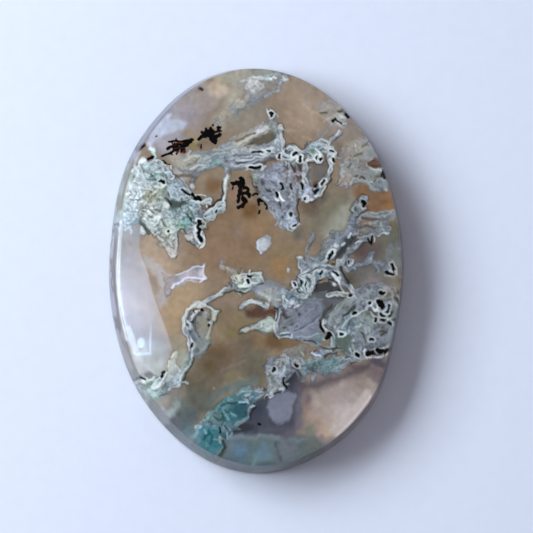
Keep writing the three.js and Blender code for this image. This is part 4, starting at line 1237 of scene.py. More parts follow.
MASSES = {
    "cloud": Mass(CRISP, 90, 4, [
        (131, 168), (138, 165), (146, 161), (153, 159), (160, 160), (168, 167), (176, 176), (184, 184),
        (189, 191), (195, 197), (200, 204), (205, 214), (204, 226), (204, 238), (200, 246), (194, 244),
        (188, 238), (184, 228), (180, 228), (178, 236), (179, 243), (176, 252), (173, 258), (169, 256),
        (165, 249), (161, 243), (155, 235), (147, 227), (139, 222), (133, 224), (126, 231), (119, 236),
        (112, 232), (110, 220), (112, 205), (115, 190), (120, 176), (126, 167)]),
    "band": Mass(SHEET, 8, 4, [
        (172, 160), (182, 155), (196, 152), (206, 151), (222, 145), (234, 142), (243, 142), (247, 147),
        (262, 146), (276, 147), (284, 156), (266, 160), (262, 170), (250, 170), (240, 170), (232, 171),
        (229, 168), (226, 163), (219, 163), (210, 165), (203, 169), (197, 174), (190, 175), (182, 172),
        (175, 168)]),
    "top_haze": Mass(FAINT, 8, 3.5, [
        (238, 72), (250, 70), (270, 70), (284, 73), (290, 79), (282, 88), (270, 98), (256, 106), (242, 112),
        (230, 121), (216, 126), (214, 120), (226, 110), (236, 102), (244, 94), (244, 84), (238, 78)]),
    "knot_web": Mass(FAINT, 6, 3.5, [
        (320, 101), (332, 98), (346, 102), (354, 112), (352, 122), (344, 128), (334, 127), (326, 122),
        (318, 112)]),
    "web_high": Mass(FAINT, 4, 4, [
        (338, 150), (342, 144), (352, 142), (364, 142), (372, 148), (378, 157), (368, 157), (356, 157),
        (346, 158), (340, 160)]),
    "arch_lower": Mass(CRISP, 4, 3.5, [
        (205, 211), (212, 205), (222, 202), (226, 206), (222, 212), (215, 217), (209, 222), (206, 218)]),
    "centre": Mass(SOFT, 16, 5, [
        (251, 172), (262, 172), (268, 168), (275, 163), (284, 161), (290, 165), (292, 175), (293, 185),
        (295, 195), (297, 207), (297, 214), (298.5, 220), (301, 225), (295, 230), (290, 232), (283, 228),
        (277, 223), (272, 216), (268, 209), (264, 203), (259, 196), (256, 190), (252, 182)]),
    "upper_mass": Mass(CRISP, 34, 3.5, [
        (260, 146), (275, 146), (288, 150), (300, 149), (312, 146), (320, 143), (330, 147), (337, 152),
        (334, 158), (322, 153), (320, 161), (310, 162), (303, 163), (290, 162), (280, 158), (262, 158)]),
    "leg_join": Mass(SOFT, 4, 4, [
        (303, 165), (309, 167), (309, 177), (312, 186), (316, 191), (312, 197), (306, 199), (298, 200),
        (294, 192), (296, 184), (301, 180), (303, 174)]),
    "web": Mass(SHEET, 10, 3.5, [
        (341, 164), (347, 160), (353, 158), (361, 160), (366, 164), (369, 169), (376, 171), (381, 172),
        (386, 178), (387, 185), (386, 189), (378, 190), (369, 188), (366, 184), (361, 181), (355, 183),
        (350, 187), (345, 190), (340, 187), (339, 176)]),
    "hook": Mass(SOFT, 7, 4, [
        (364, 199), (358, 202), (353, 208), (350, 216), (346, 226), (350, 232), (356, 228), (358, 219),
        (363, 211), (365, 204)]),
    "ridge_web": Mass(SHEET, 4, 4, [
        (397, 214), (380, 215), (372, 217), (377, 221), (370, 226), (362, 231), (364, 235), (374, 233),
        (382, 230), (388, 228), (387, 222), (393, 218)]),
    "net": Mass(SOFT, 30, 3.5, [
        (336, 238), (344, 236), (352, 230), (356, 234), (352, 243), (344, 249), (338, 254), (332, 261),
        (324, 263), (316, 267), (308, 272), (303, 276), (300, 268), (304, 262), (312, 258), (320, 252),
        (326, 245)]),
    "net_lower": Mass(CRISP, 30, 3.5, [
        (301, 277), (309, 272), (317, 268), (326, 266), (336, 266), (341, 272), (345, 280), (350, 287),
        (346, 289), (340, 284), (335, 279), (327, 277), (320, 278), (315, 283), (314, 292), (306, 297),
        (298, 291), (295, 283)]),
    "knot": Mass(CRISP, 12, 3.5, [
        (231, 276), (235, 274), (239, 273), (246, 274), (252, 273), (261, 272), (264, 276), (263, 281),
        (257, 285), (253, 287), (250, 290), (244, 292), (238, 290), (232, 287), (230, 282)]),
    "lump": Mass(SHEET, 6, 5, [
        (250, 290), (256, 285), (262, 281), (270, 280), (277, 283), (286, 286), (292, 292), (288, 300),
        (282, 302), (281, 309), (276, 311), (270, 304), (266, 301), (260, 299), (254, 297)]),
    "lump_right": Mass(CRISP, 12, 4, [
        (286, 288), (296, 290), (306, 295), (303, 303), (297, 308), (292, 312), (285, 310), (282, 302)]),
    "low_left": Mass(SOFT, 26, 4, [
        (132, 377), (138, 378), (146, 380), (151, 377), (157, 376), (162, 379), (167, 372), (172, 372),
        (178, 372), (184, 369), (189, 365), (188, 370), (185, 377), (182, 383), (176, 386), (171, 389),
        (169, 394), (162, 398), (152, 398), (146, 397), (140, 390), (134, 383)]),
    "mass": Mass(SOFT, 80, 4, [
        (354, 296), (365, 289), (376, 287), (386, 288), (393, 292), (397, 302), (398, 312), (395, 325),
        (392, 336), (389, 346), (382, 350), (374, 353), (366, 354), (358, 358), (348, 356), (342, 350),
        (336, 344), (336, 334), (330, 330), (326, 324), (332, 314), (340, 308), (348, 302)]),
    "teal_sheet": Mass(SOFT, 34, 4, [
        (296, 366), (304, 361), (314, 358), (326, 359), (338, 357), (346, 353), (356, 357), (352, 363),
        (344, 368), (340, 374), (330, 373), (325, 377), (318, 373), (309, 373), (304, 377), (298, 372)]),
    "arc_mass": Mass(SOFT, 22, 4, [
        (264, 366), (270, 359), (280, 356), (290, 358), (298, 362), (296, 372), (288, 376), (284, 384),
        (278, 390), (270, 396), (262, 392), (268, 386), (272, 376), (266, 374)]),
    "teal_mass": Mass(VEILED, 44, 4, [
        (190, 446), (194, 434), (201, 420), (212, 408), (225, 400), (236, 392), (248, 388), (262, 388),
        (264, 394), (262, 399), (254, 402), (252, 407), (247, 412), (248, 419), (241, 424), (231, 430),
        (229, 441), (224, 450), (218, 458), (206, 452)]),
    "cream_haze": Mass(FAINT, 4, 5, [
        (282, 350), (292, 346), (304, 347), (308, 354), (302, 361), (292, 364), (284, 358)]),
    "membrane": Mass(SHEET, 0, 4, [
        (284, 312), (292, 306), (302, 300), (312, 298), (322, 300), (327, 310), (324, 322), (322, 332),
        (326, 340), (318, 344), (304, 341), (292, 338), (280, 334), (280, 322)]),
    "ball": Mass(VEILED, 0, 4, [
        (258, 323), (262, 319), (267, 317), (273, 318), (277, 322), (278, 328), (274, 333), (267, 335),
        (261, 333), (257.5, 329)]),
    "loop_window": Mass(SHEET, 0, 4, [
        (193, 318), (201, 311), (209, 312), (211, 322), (211, 333), (213, 341), (209, 348), (204, 353.5),
        (198, 358), (193, 356), (190, 346), (188, 334), (190, 326)]),
    "cone": Mass(SOFT, 4, 4, [
        (158, 224), (170, 222), (178, 230), (177, 244), (174, 257), (168, 254), (161, 243)]),
    "spike": Mass(SMOOTH, 0, 4, [
        (167, 386), (169, 372), (170, 362), (173, 354), (177, 351), (176, 360), (178, 372), (177, 383)]),
    "branch": Mass(SMOOTH, 0, 4, [
        (162, 275), (167, 276.5), (172, 277), (177, 275), (183, 271.5), (190, 267.5), (194, 265), (200, 266),
        (207, 264.5), (205, 269), (204.8, 274), (206.8, 279), (205.5, 282), (200.5, 285), (195, 283.8),
        (188, 283.2), (183, 284), (178, 287), (173, 291), (168, 297), (164, 299), (164, 290), (166, 282)]),
    "hexagon": Mass(SMOOTH, 0, 4, [
        (258, 240), (256, 248), (260, 253), (263, 256), (268, 250), (272, 243), (270, 237), (265, 234)]),
    "bar_lobe": Mass(CRISP, 0, 4, [
        (311, 351), (316, 349), (324, 349), (330, 347), (328, 351), (323, 355), (314, 356)]),
    "parallel": Mass(CRISP, 0, 4, [
        (287, 229), (291, 224), (297, 221.5), (300, 225), (294, 230), (290, 232.5)]),
}


# Cut tubes at the polished top: middle and radius in pixels

RINGS = {
    "spine_top": ((272, 113.5), 5),
    "row_left": ((300, 158), 4),
    "row_knob": ((331.5, 151), 3.2),
    "loop_top": ((329.5, 158), 3.5),
    "leg_end": ((305, 198), 3.2),
    "net": ((350, 261.5), 3.2),
    "teal": ((294, 284.6), 3.5),
    "cloud_teal": ((170, 175), 4),
    "cloud_mid": ((174, 194), 4),
    "strand_end": ((267, 305), 3),
}

# Pale knobs: middle and radius in pixels

KNOBS = {
    "cloud_a": ((142, 231), 2.6),
    "cloud_b": ((165, 204), 2.4),
    "cloud_c": ((193, 187), 3),
    "cloud_d": ((154, 150), 2.6),
    "cloud_e": ((142, 162), 3),
    "cloud_f": ((153, 152), 2),
    "cone_tip": ((173, 256), 3.4),
    "net_a": ((350, 235), 2.8),
    "net_b": ((345, 233), 2.5),
    "net_c": ((343, 244), 2.5),
    "net_d": ((336, 245), 2.5),
    "net_e": ((338, 235), 2.4),
    "net_f": ((333, 232), 2.2),
    "net_g": ((329, 237), 2.2),
    "net_h": ((339, 240), 2.2),
    "pink": ((288, 270), 3),
    "cream": ((196, 304), 4.5),
    "low": ((313, 378), 3.6),
    "arc_foot": ((283.5, 389.5), 3.4),
    "arc_foot_b": ((272, 395), 3.2),
    "row_a": ((290, 149), 3.4),
    "row_b": ((331, 147), 2.8),
    "hook": ((367, 197), 2.6),
    "knot_a": ((240, 285), 2.6),
    "knot_b": ((253, 283), 2.4),
}


# Dark pores, and those with strong pale collars: width and route in pixels

PORES = {
    "band_slit_b": (1.8, [(252, 152), (262, 151)]),
    "loop_c": (2.4, [(316.5, 186.5), (318, 186)]),
    "leg": (2.0, [(302.6, 184), (302.2, 188)]),
    "centre_a": (2.2, [(280.5, 183.5), (282, 184), (282.5, 189)]),
    "centre_b": (2.4, [(276.5, 193), (278.5, 196)]),
    "centre_d": (2.4, [(291.5, 213), (291.5, 215)]),
    "hook": (3.6, [(362.5, 202.5), (363.5, 205.5), (365, 203.5)]),
    "vee_left": (2, [(368, 239), (371, 243)]),
    "vee_right": (2, [(373, 238), (371, 243)]),
    "net_b": (1.6, [(333, 271), (338, 276)]),
    "net_d": (2, [(320.5, 273.5), (322.5, 272.5)]),
    "teal_a": (1.6, [(301.5, 281), (301.5, 286)]),
    "teal_b": (1.6, [(305.4, 281), (305.4, 286)]),
    "knot_a": (3, [(249.5, 276), (250.5, 276)]),
    "loop_left_a": (2.4, [(203, 310), (203.5, 311)]),
    "loop_left_b": (2, [(194, 312), (194.5, 313)]),
    "loop_left_c": (2, [(209, 325), (209, 326)]),
    "loop_left_d": (2.6, [(192, 345.5), (192, 347)]),
    "cloud_a": (2.4, [(182, 190), (184.5, 193), (188.5, 194)]),
    "cloud_b": (2.8, [(191.5, 193.5), (194, 196), (194.5, 198.5), (198, 197.5), (200.5, 199)]),
    "cloud_c": (2, [(168, 230), (168.5, 231)]),
    "cloud_e": (2.4, [(160, 180), (164, 183)]),
    "cloud_f": (2, [(118, 223.5), (119, 225)]),
    "cloud_g": (2.2, [(216, 212), (217.5, 211)]),
    "mass_a": (2.4, [(350, 295), (351, 295)]),
    "mass_b": (2.2, [(369, 303), (370.5, 303)]),
    "mass_c": (3.6, [(378.5, 302), (382, 303), (382, 306.5), (380.5, 305)]),
    "mass_d": (2.6, [(388.5, 306), (388, 309), (386, 311), (388, 312.5)]),
    "mass_e": (2.2, [(380, 313.5), (383, 316)]),
    "mass_f": (2.2, [(375, 319), (375, 321)]),
    "mass_g": (2.4, [(381, 320), (384, 321)]),
    "mass_h": (3, [(388, 323), (390, 324)]),
    "mass_i": (2, [(370.5, 339.5), (372, 339.5)]),
    "mass_j": (2.4, [(356, 312), (354, 314)]),
    "mass_l": (2.6, [(356, 353.5), (357.5, 354.5)]),
    "mass_m": (1.8, [(321, 324.5), (322, 328), (324, 331)]),
    "vee_pocket": (4, [(329.5, 334.5), (329, 337), (326.5, 338.5)]),
    "low_a": (2.8, [(296.2, 364), (297.5, 365.5)]),
    "low_b": (1.8, [(284.5, 378), (283.5, 383), (285, 385.5), (288, 388.5)]),
    "low_c": (2.6, [(275, 369), (274.5, 372)]),
    "low_left": (2.8, [(164.3, 371.8), (162.4, 373), (161.4, 376.4)]),
    "low_left_b": (2, [(138.5, 377.4), (142.5, 376.8), (145.5, 379)]),
    "edge_a": (2.8, [(382.5, 170), (384, 174), (385, 178)]),
    "edge_b": (2.4, [(386.5, 271), (389, 273), (393, 273.5)]),
    "edge_c": (2.6, [(392, 265), (393.5, 269)]),
    "dark_dot": (2.6, [(258.5, 425), (261, 424.5)]),
    "row_dot": (1.8, [(268, 150.5), (270, 151.5)]),
    "mass_d2": (2.2, [(392.5, 311), (391.5, 314.5), (389, 316.5)]),
    "mass_far": (2.4, [(396, 298), (398, 301), (399.5, 303)]),
    "mass_top": (2.2, [(380, 291.5), (382, 293.5), (383.5, 292)]),
    "mass_bar": (4.4, [(367, 353.5), (372, 352.5), (378, 353), (383, 353)]),
    "mass_bar_b": (3, [(376.5, 350.5), (379, 352), (386, 350.5), (390, 348.5), (393, 346.5)]),
    "upper_right": (3, [(332, 121), (335, 118.5), (337.5, 120)]),
    "upper_right_b": (1.8, [(338, 121), (341.5, 124)]),
    "upper_right_c": (2.4, [(348.5, 112), (351.5, 116)]),
}

COLLARED_PORES = {
    "spine_top": (4.2, [(270, 112.5), (272.5, 113.5), (271.5, 115)]),
    "band_slit": (2.8, [(250.5, 167), (254, 167.5), (257, 168.5), (260, 168)]),
    "row_a": (2.4, [(293.5, 155), (296.5, 153)]),
    "row_b": (3, [(300, 156.5), (300, 160)]),
    "row_c": (3, [(317, 157), (317, 158)]),
    "row_d": (2.2, [(321, 157.5), (321, 158.5)]),
    "row_e": (2, [(330.5, 151.5), (332.5, 151.5)]),
    "row_f": (1.8, [(332.8, 159), (333.4, 162)]),
    "loop_a": (2.0, [(324, 181.5), (322, 185.5)]),
    "loop_b": (2.4, [(319, 190), (316, 192.5)]),
    "leg_end": (2.4, [(305, 197.5), (305, 199)]),
    "centre_e": (1.8, [(294.5, 226), (296.5, 226)]),
    "net_a": (3, [(329, 258), (333, 252)]),
    "net_c": (2, [(350, 261), (350, 262)]),
    "teal_ring": (2, [(294, 284), (294.5, 285)]),
    "knot_b": (3.4, [(248.5, 282), (248.5, 283)]),
    "cloud_d": (3.2, [(199, 220.5), (200.5, 223), (198, 225.5), (200.5, 229), (198.5, 233), (199, 236),
                      (201, 240)]),
    "mass_k": (2.6, [(340.5, 333), (341.5, 333)]),
    "row_pair": (2, [(279.5, 154.5), (278.8, 157.5)]),
}


# Dark dendrites: width and route in pixels

DENDRITES = {
    "one_top": (2.2, [(168.5, 141), (174, 140.5), (181, 141.5)]),
    "one_top_b": (3.0, [(181, 141.5), (187, 140.5), (192.5, 138.8)]),
    "one_body": (5.2, [(183, 145), (187, 143.5), (190.5, 141.5)]),
    "one_mid": (3.0, [(167.5, 148), (172, 146), (178, 144), (184, 142)]),
    "one_fill": (3.0, [(175, 148), (180, 147), (184, 146)]),
    "one_low": (3.2, [(163, 155.5), (168, 153), (173, 151.5), (178, 149)]),
    "one_down_a": (2.0, [(178, 151), (177.5, 153.5)]),
    "one_down_b": (1.8, [(181, 149), (181.5, 152)]),
    "one_down_c": (2.4, [(184, 148), (184.5, 151.5)]),
    "two_left": (2.4, [(198.5, 138.5), (202, 136), (206, 135)]),
    "two_body": (7.0, [(206, 134.5), (210, 133), (213, 132.5)]),
    "two_low": (6.2, [(210.5, 138), (213, 140.5), (215, 140.5)]),
    "two_spike_a": (2.2, [(202, 132), (205, 135)]),
    "two_spike_b": (2.0, [(206.5, 129.8), (207.5, 133)]),
    "two_spike_c": (3.0, [(211, 129.5), (212, 133)]),
    "two_arm_high": (2.2, [(213, 133), (217, 130.8), (217.5, 128), (220, 125.5)]),
    "two_arm_low": (3.0, [(214, 139), (216.5, 136), (219.5, 134.6)]),
    "two_stem": (1.6, [(200.5, 144.5), (200.3, 148.5)]),
    "two_dot": (1.4, [(213, 125), (213, 126.5)]),
    "three_bar": (2.8, [(231.5, 184), (236, 183.5), (242, 183.5)]),
    "three_top": (3.6, [(241.5, 178.5), (243, 182), (243.5, 187)]),
    "three_stem": (3.0, [(240, 185), (240, 191), (238.5, 197), (238, 200.5)]),
    "three_middle": (2.6, [(243, 187), (242, 192), (243, 196)]),
    "three_right": (3.0, [(243.5, 188), (248, 188), (249, 191.5), (250, 195)]),
    "three_arc": (1.8, [(242.5, 195), (245.5, 193), (249, 193.5)]),
    "three_blob": (5.8, [(244, 198.5), (245.5, 200.5)]),
    "three_low_a": (2.4, [(246.5, 202.5), (243, 204.5), (239.5, 208), (238.5, 209)]),
    "three_low_end": (3.4, [(239, 208), (239.5, 208)]),
    "three_low_b": (2.2, [(245, 203), (243.5, 208)]),
    "three_dot": (2.4, [(232, 187.5), (232, 189)]),
    "three_far": (2.2, [(253.5, 195), (255.5, 193), (258, 194)]),
    "four": (2.6, [(258, 204.5), (260, 200), (262, 198.5), (264, 202), (264, 206)]),
    "four_middle": (2.6, [(262, 199), (262, 202)]),
    "four_dot": (2.6, [(266, 206.5), (266, 208)]),
    "four_dot_b": (2.2, [(259.5, 211.5), (259.5, 213)]),
    "top_left": (2.4, [(196, 87), (199, 86), (202, 89)]),
    "top_left_b": (2.4, [(185, 90.5), (186, 90.5)]),
    "upper_left": (2.4, [(135, 154), (140, 149), (144.5, 145.5)]),
    "upper_left_speck": (2.0, [(154.5, 136.6), (156.5, 136.2)]),
    "upper_left_b": (2.6, [(147, 159), (150, 157.5), (154, 158)]),
    "upper_left_c": (3.4, [(161, 162), (164, 162), (166, 163)]),
    "upper_left_d": (2.4, [(167, 165.5), (170, 166.5)]),
}


# Where the dendrites are brown rather than black

DENDRITE_STREAKS = [
    stroke([(175, 142.8), (179, 142.2), (183, 142.4)], 0.3, 0.7, (128, 74, 52)),
    stroke([(172, 145.6), (177, 144.6)], 0.2, 0.6, (84, 44, 34)),
    stroke([(175, 149), (180, 147.8), (186, 147.4)], 0.3, 0.7, (92, 52, 42)),
    stroke([(183, 150.4), (186, 149.6)], 0.5, 0.7, (110, 70, 60)),
    stroke([(177, 152), (180, 151.6), (183, 152.2)], 0.4, 0.7, (124, 80, 66)),
    stroke([(205, 137), (208, 139.4)], 0.5, 0.7, (66, 46, 34)),
    stroke([(234, 187), (240, 187.4)], 0.4, 0.7, (70, 40, 30)),
    stroke([(243, 188), (242, 193)], 0.4, 0.7, (66, 36, 28)),
]


# Dark hollows and lines in the moss, some of them painted shadow under and beside growths

GAPS_AND_SHADOWS = [
    # The upper right
    stroke([(321, 113), (326, 113)], 1.3, 1.2, (112, 104, 84)),
    stroke([(338, 111), (346, 110)], 1.0, 0.9, (110, 104, 80)),
    # The cloud at the left
    area([(168, 200), (176, 200), (186, 201), (189, 204), (182, 206), (173, 207), (168, 204)],
         1.5, (86, 100, 96)),
    stroke([(165, 197), (169, 200), (172, 204)], 0.7, 0.9, (34, 38, 30)),
    stroke([(140.5, 222), (143, 225), (146, 230), (149, 234)], 2.0, 1.4, (108, 124, 122)),
    stroke([(130, 225), (134, 221), (139, 221)], 1.4, 1.6, (136, 154, 162)),
    stroke([(140, 224), (145, 226)], 1.6, 1.4, (106, 122, 124)),
    stroke([(130, 199), (134, 200), (139, 199)], 0.7, 1.0, (146, 158, 148)),
    stroke([(161.5, 220), (163, 223), (165, 225.5)], 0.8, 0.9, (96, 104, 88)),
    stroke([(152, 211), (154, 213)], 0.9, 0.9, (124, 118, 104)),
    stroke([(149, 216), (152, 217)], 0.8, 0.9, (124, 120, 100)),
    spot(142, 217, 1.5, 1.5, (150, 158, 130)),
    stroke([(187, 213), (190, 219), (193, 216), (192, 212)], 1.2, 1.2, (76, 112, 98)),
    stroke([(189.5, 217), (190.5, 221)], 0.6, 0.8, (20, 30, 22)),
    stroke([(196, 170), (204, 164)], 0.6, 1.1, (138, 144, 140)),
    stroke([(175, 176), (184, 175), (196, 176)], 1.5, 2, (128, 116, 100)),
    # The band and the arch below it
    stroke([(232, 155), (244, 154.6), (252, 154)], 0.4, 0.8, (112, 120, 122)),
    stroke([(236, 163), (246, 161.5), (254, 160.5)], 0.5, 0.7, (88, 98, 100)),
    stroke([(186, 166), (194, 162), (200, 158)], 0.6, 1.1, (140, 138, 126)),
    # Painted shadow beneath the strand left of the spine
    area([(247, 146), (256, 139), (266, 134), (273, 132), (275, 140), (268, 142), (258, 145)],
         1.5, (118, 113, 100)),
    stroke([(236, 140), (246, 137), (255, 133)], 0.8, 1.2, (112, 104, 82)),
    stroke([(254, 152.5), (260, 152)], 1.0, 0.9, (80, 78, 52)),
    stroke([(240, 157), (252, 158), (260, 158)], 0.5, 1, (104, 112, 118)),
    stroke([(236, 162.5), (248, 162), (262, 162.5)], 0.9, 1.2, (94, 100, 98)),
    stroke([(264, 163), (270, 160), (276, 159)], 1.6, 1.6, (122, 108, 98)),
    stroke([(283, 157), (287, 157.5)], 0.6, 0.8, (60, 62, 54)),
    # The arch and the dendrites
    stroke([(223.5, 182), (223, 190), (221, 199), (214, 204), (207, 208)], 0.9, 1.0, (76, 52, 30)),
    # The grey mass in the middle
    stroke([(291.2, 182.5), (291.6, 190)], 0.7, 0.8, (54, 62, 58)),
    stroke([(287, 165), (288, 169)], 0.9, 0.9, (110, 94, 82)),
    stroke([(291, 183), (291.5, 190)], 0.8, 0.8, (62, 62, 44)),
    stroke([(254, 186), (257, 188.5)], 0.8, 0.8, (40, 34, 24)),
    stroke([(250, 176), (253, 184), (258, 193)], 0.9, 1.2, (110, 96, 78)),
    spot(263, 184, 2.4, 1.6, (92, 98, 100)),
    stroke([(272, 182), (276, 186)], 0.7, 1, (110, 116, 122)),
    stroke([(267, 191), (270.5, 191)], 0.8, 0.8, (68, 68, 66)),
    stroke([(280, 200), (281, 204)], 0.8, 0.9, (56, 50, 40)),
    spot(289, 207, 2, 1.6, (108, 116, 126)),
    spot(282.5, 217.5, 1.8, 1.4, (92, 102, 112)),
    spot(291, 213.5, 1.8, 1.2, (62, 68, 66)),
    # The row of knobs and its loop
    stroke([(295.4, 167), (295.8, 172)], 0.7, 0.8, (112, 92, 80)),
    stroke([(300.6, 166), (301.4, 170.5)], 0.9, 0.9, (104, 84, 70)),
    stroke([(299.6, 179), (300.4, 184)], 1.0, 1.0, (128, 106, 92)),
    stroke([(303, 154), (305, 160)], 1.6, 1.2, (100, 84, 70)),
    stroke([(292, 165), (294.5, 172)], 1.0, 0.9, (86, 66, 50)),
    stroke([(299, 165), (300, 168)], 0.9, 0.9, (116, 98, 90)),
    stroke([(296, 177), (300, 182), (301, 178)], 1.6, 1.2, (122, 106, 98)),
    stroke([(297, 190), (297, 196)], 1.0, 1.4, (118, 118, 116)),
    stroke([(290.5, 228.5), (296, 225)], 0.8, 0.8, (78, 96, 92)),
    stroke([(299, 199), (297, 206), (299, 214), (300, 221)], 0.8, 1, (72, 60, 46)),
    stroke([(317, 187), (318, 186)], 0.8, 0.8, (28, 24, 18)),
    stroke([(319, 184), (324, 180), (327, 175)], 0.6, 0.9, (84, 66, 54)),
    stroke([(322.5, 196), (327, 188), (331, 180)], 0.8, 1.2, (92, 80, 64)),
    # The web at the right
    stroke([(355, 154.5), (361, 153.5)], 1.3, 1.2, (128, 118, 92)),
    stroke([(362, 146), (367, 145)], 1.0, 1.2, (136, 130, 106)),
    stroke([(348, 166), (351, 163)], 0.8, 0.9, (120, 120, 100)),
    stroke([(355, 178), (357, 176)], 0.7, 0.8, (110, 114, 104)),
    stroke([(359.5, 178.5), (362, 177), (365, 178.5)], 0.9, 0.8, (84, 78, 70)),
    stroke([(374, 182), (376, 180)], 0.8, 0.8, (100, 104, 98)),
    stroke([(377, 177), (382, 176)], 1.8, 1.5, (132, 118, 106)),
    spot(379.5, 183, 0.9, 0.8, (98, 96, 86)),
    # The hook and the ridges at the right
    stroke([(367, 208), (362, 213), (357, 218)], 0.8, 1, (62, 54, 44)),
    spot(356, 209, 2.2, 1.6, (98, 106, 104)),
    stroke([(359, 239), (355, 242)], 0.7, 0.8, (34, 34, 28)),
    stroke([(362, 218), (370, 219), (378, 219)], 1.3, 1.4, (118, 98, 88)),
    stroke([(360, 228), (368, 226), (374, 228)], 1.2, 1.4, (108, 98, 90)),
    # The net
    area([(344, 238), (350, 235), (356, 238), (352, 244), (346, 250), (341, 257), (333, 263), (336, 254),
          (341, 246)], 1.8, (78, 82, 88)),
    stroke([(328, 262.5), (334, 264)], 0.6, 0.8, (34, 40, 40)),
    stroke([(309, 273), (314, 270), (319, 267)], 0.7, 0.8, (54, 58, 62)),
    stroke([(340, 268), (343, 276), (348, 283)], 1.8, 1.6, (78, 76, 68)),
    stroke([(316, 281), (318.5, 279), (324, 279.5), (331, 280), (336, 282)], 0.8, 0.8, (26, 26, 24)),
    area([(317, 282), (324, 280.5), (335, 282.5), (338, 289), (332, 291), (322, 291), (315, 294),
          (316, 287)], 1.6, (84, 84, 86)),
    stroke([(338, 290), (334, 291), (328, 292)], 0.7, 0.9, (58, 56, 50)),
    stroke([(316.5, 283), (316.5, 288), (313.5, 293)], 0.8, 0.9, (38, 36, 34)),
    # The knot, the lump and the hexagon
    stroke([(262, 283), (258, 285)], 0.7, 0.8, (88, 100, 96)),
    stroke([(241, 289), (246, 287.5), (250, 286)], 0.7, 0.8, (76, 102, 84)),
    stroke([(234, 289), (240, 292), (246, 294)], 0.6, 0.8, (70, 68, 54)),
    spot(231, 285, 1.2, 1, (60, 54, 38)),
    stroke([(224, 293), (232, 291)], 1.6, 1.6, (118, 118, 106)),
    # The loop
    stroke([(193, 320), (197, 316), (202, 315)], 0.9, 1.1, (84, 86, 80)),
    stroke([(194, 322), (196, 330), (199, 337)], 0.8, 1.2, (104, 106, 102)),
    stroke([(187.5, 319), (188, 316), (190, 314)], 1.0, 0.9, (116, 128, 136)),
    stroke([(186, 321), (187, 324)], 0.8, 0.8, (72, 84, 84)),
    stroke([(192.4, 319), (193, 323)], 0.8, 0.9, (64, 72, 72)),
    stroke([(199, 314.5), (202, 313)], 0.8, 0.9, (76, 80, 80)),
    spot(208, 306, 0.9, 0.8, (56, 64, 60)),
    stroke([(189.6, 331), (191, 336), (195, 341)], 1.8, 1.4, (120, 132, 146)),
    stroke([(203, 353.8), (208, 349), (211, 344)], 0.5, 0.9, (72, 76, 66)),
    stroke([(213, 322), (214, 327)], 0.9, 0.9, (92, 104, 98)),
    spot(208, 319.5, 1.2, 0.9, (70, 66, 50)),
    stroke([(189.6, 354), (189.4, 360), (187.8, 364)], 0.6, 0.9, (112, 138, 120)),
    stroke([(194.5, 357), (193, 362), (190, 369), (187, 374), (185, 381)], 0.8, 1.0, (66, 76, 62)),
    # The ball and the post
    stroke([(276, 320), (278, 314), (278, 309), (274, 308)], 0.8, 0.8, (52, 36, 24)),
    stroke([(260, 320), (265, 317), (270, 316), (274, 319)], 0.6, 0.7, (56, 40, 28)),
    stroke([(255, 305.5), (262, 307.5), (268, 308)], 0.6, 0.8, (62, 46, 32)),
    # The membrane
    stroke([(290, 326), (304, 319), (316, 306)], 0.4, 0.9, (98, 104, 112)),
    stroke([(294, 330.6), (308, 325), (320, 314)], 0.4, 0.9, (100, 106, 114)),
    stroke([(303, 340), (310, 341), (316, 343)], 0.7, 0.9, (74, 66, 54)),
    stroke([(284, 314), (287, 316.5), (291, 317)], 1.4, 1.4, (84, 86, 78)),
    stroke([(297, 311), (299, 315)], 1.3, 1.3, (82, 84, 78)),
    stroke([(284, 328), (288, 329)], 1.3, 1.0, (78, 86, 84)),
    stroke([(293, 325), (297, 325.5)], 1.0, 1.0, (84, 92, 96)),
    stroke([(281, 335.5), (289, 334.8)], 0.7, 0.7, (84, 112, 116)),
    # The mass at the right
    stroke([(354.7, 304.7), (348.4, 312.6), (343.6, 317.4)], 0.9, 0.9, (74, 80, 68)),
    stroke([(341, 300), (334, 308), (328, 318)], 0.5, 0.9, (92, 98, 94)),
    stroke([(374, 318), (378, 323)], 0.9, 0.9, (70, 76, 58)),
    stroke([(381, 330), (386, 333)], 1.1, 1.0, (84, 86, 66)),
    stroke([(330, 297), (340, 297.5), (349, 298)], 0.7, 1, (92, 88, 78)),
    stroke([(357, 303), (354, 309), (350, 313), (346, 315)], 0.8, 0.9, (62, 60, 48)),
    stroke([(341, 307), (337, 312), (333, 320)], 0.8, 1.1, (98, 100, 92)),
    stroke([(322, 318), (326, 312), (332, 305)], 1.6, 1.8, (90, 88, 80)),
    # Painted shadow along the membrane's right edge
    stroke([(320, 320), (320, 327), (324, 333)], 1.2, 1.2, (60, 58, 50)),
    area([(336, 337), (345, 336), (354, 334), (352, 341), (347, 346), (346, 352), (342, 353), (339, 347),
          (335, 345)], 2.4, (116, 130, 122)),
    stroke([(362, 332), (364, 336), (366, 341)], 1.0, 1.0, (86, 90, 76)),
    stroke([(381, 335), (387, 334.5)], 1.4, 1.1, (72, 74, 60)),
    stroke([(380, 314), (385, 316.5), (391, 317)], 1.0, 1.0, (76, 74, 60)),
    stroke([(366, 310), (371, 311), (376, 315)], 1.0, 1.1, (90, 90, 74)),
    stroke([(393, 318), (394, 324)], 1.0, 1.0, (92, 94, 84)),
    spot(399, 292, 2.6, 2, (96, 88, 70)),
    stroke([(320, 346), (330, 348), (340, 348)], 0.9, 1.1, (84, 92, 86)),
    # The teal sheet
    stroke([(325, 356), (329, 354.5), (336, 353)], 1.4, 1.2, (92, 96, 98)),
    stroke([(350, 364), (355, 362.5), (361, 364)], 0.7, 1, (80, 66, 62)),
    stroke([(303, 376), (299, 371), (293, 368)], 1.0, 1.2, (84, 90, 94)),
    # The arc
    spot(264, 390, 2, 1.6, (88, 102, 98)),
    stroke([(274, 357), (280, 356), (285, 358)], 0.5, 0.9, (116, 104, 86)),
    stroke([(282, 362), (285, 366)], 0.8, 1, (110, 116, 118)),
    # The lower left
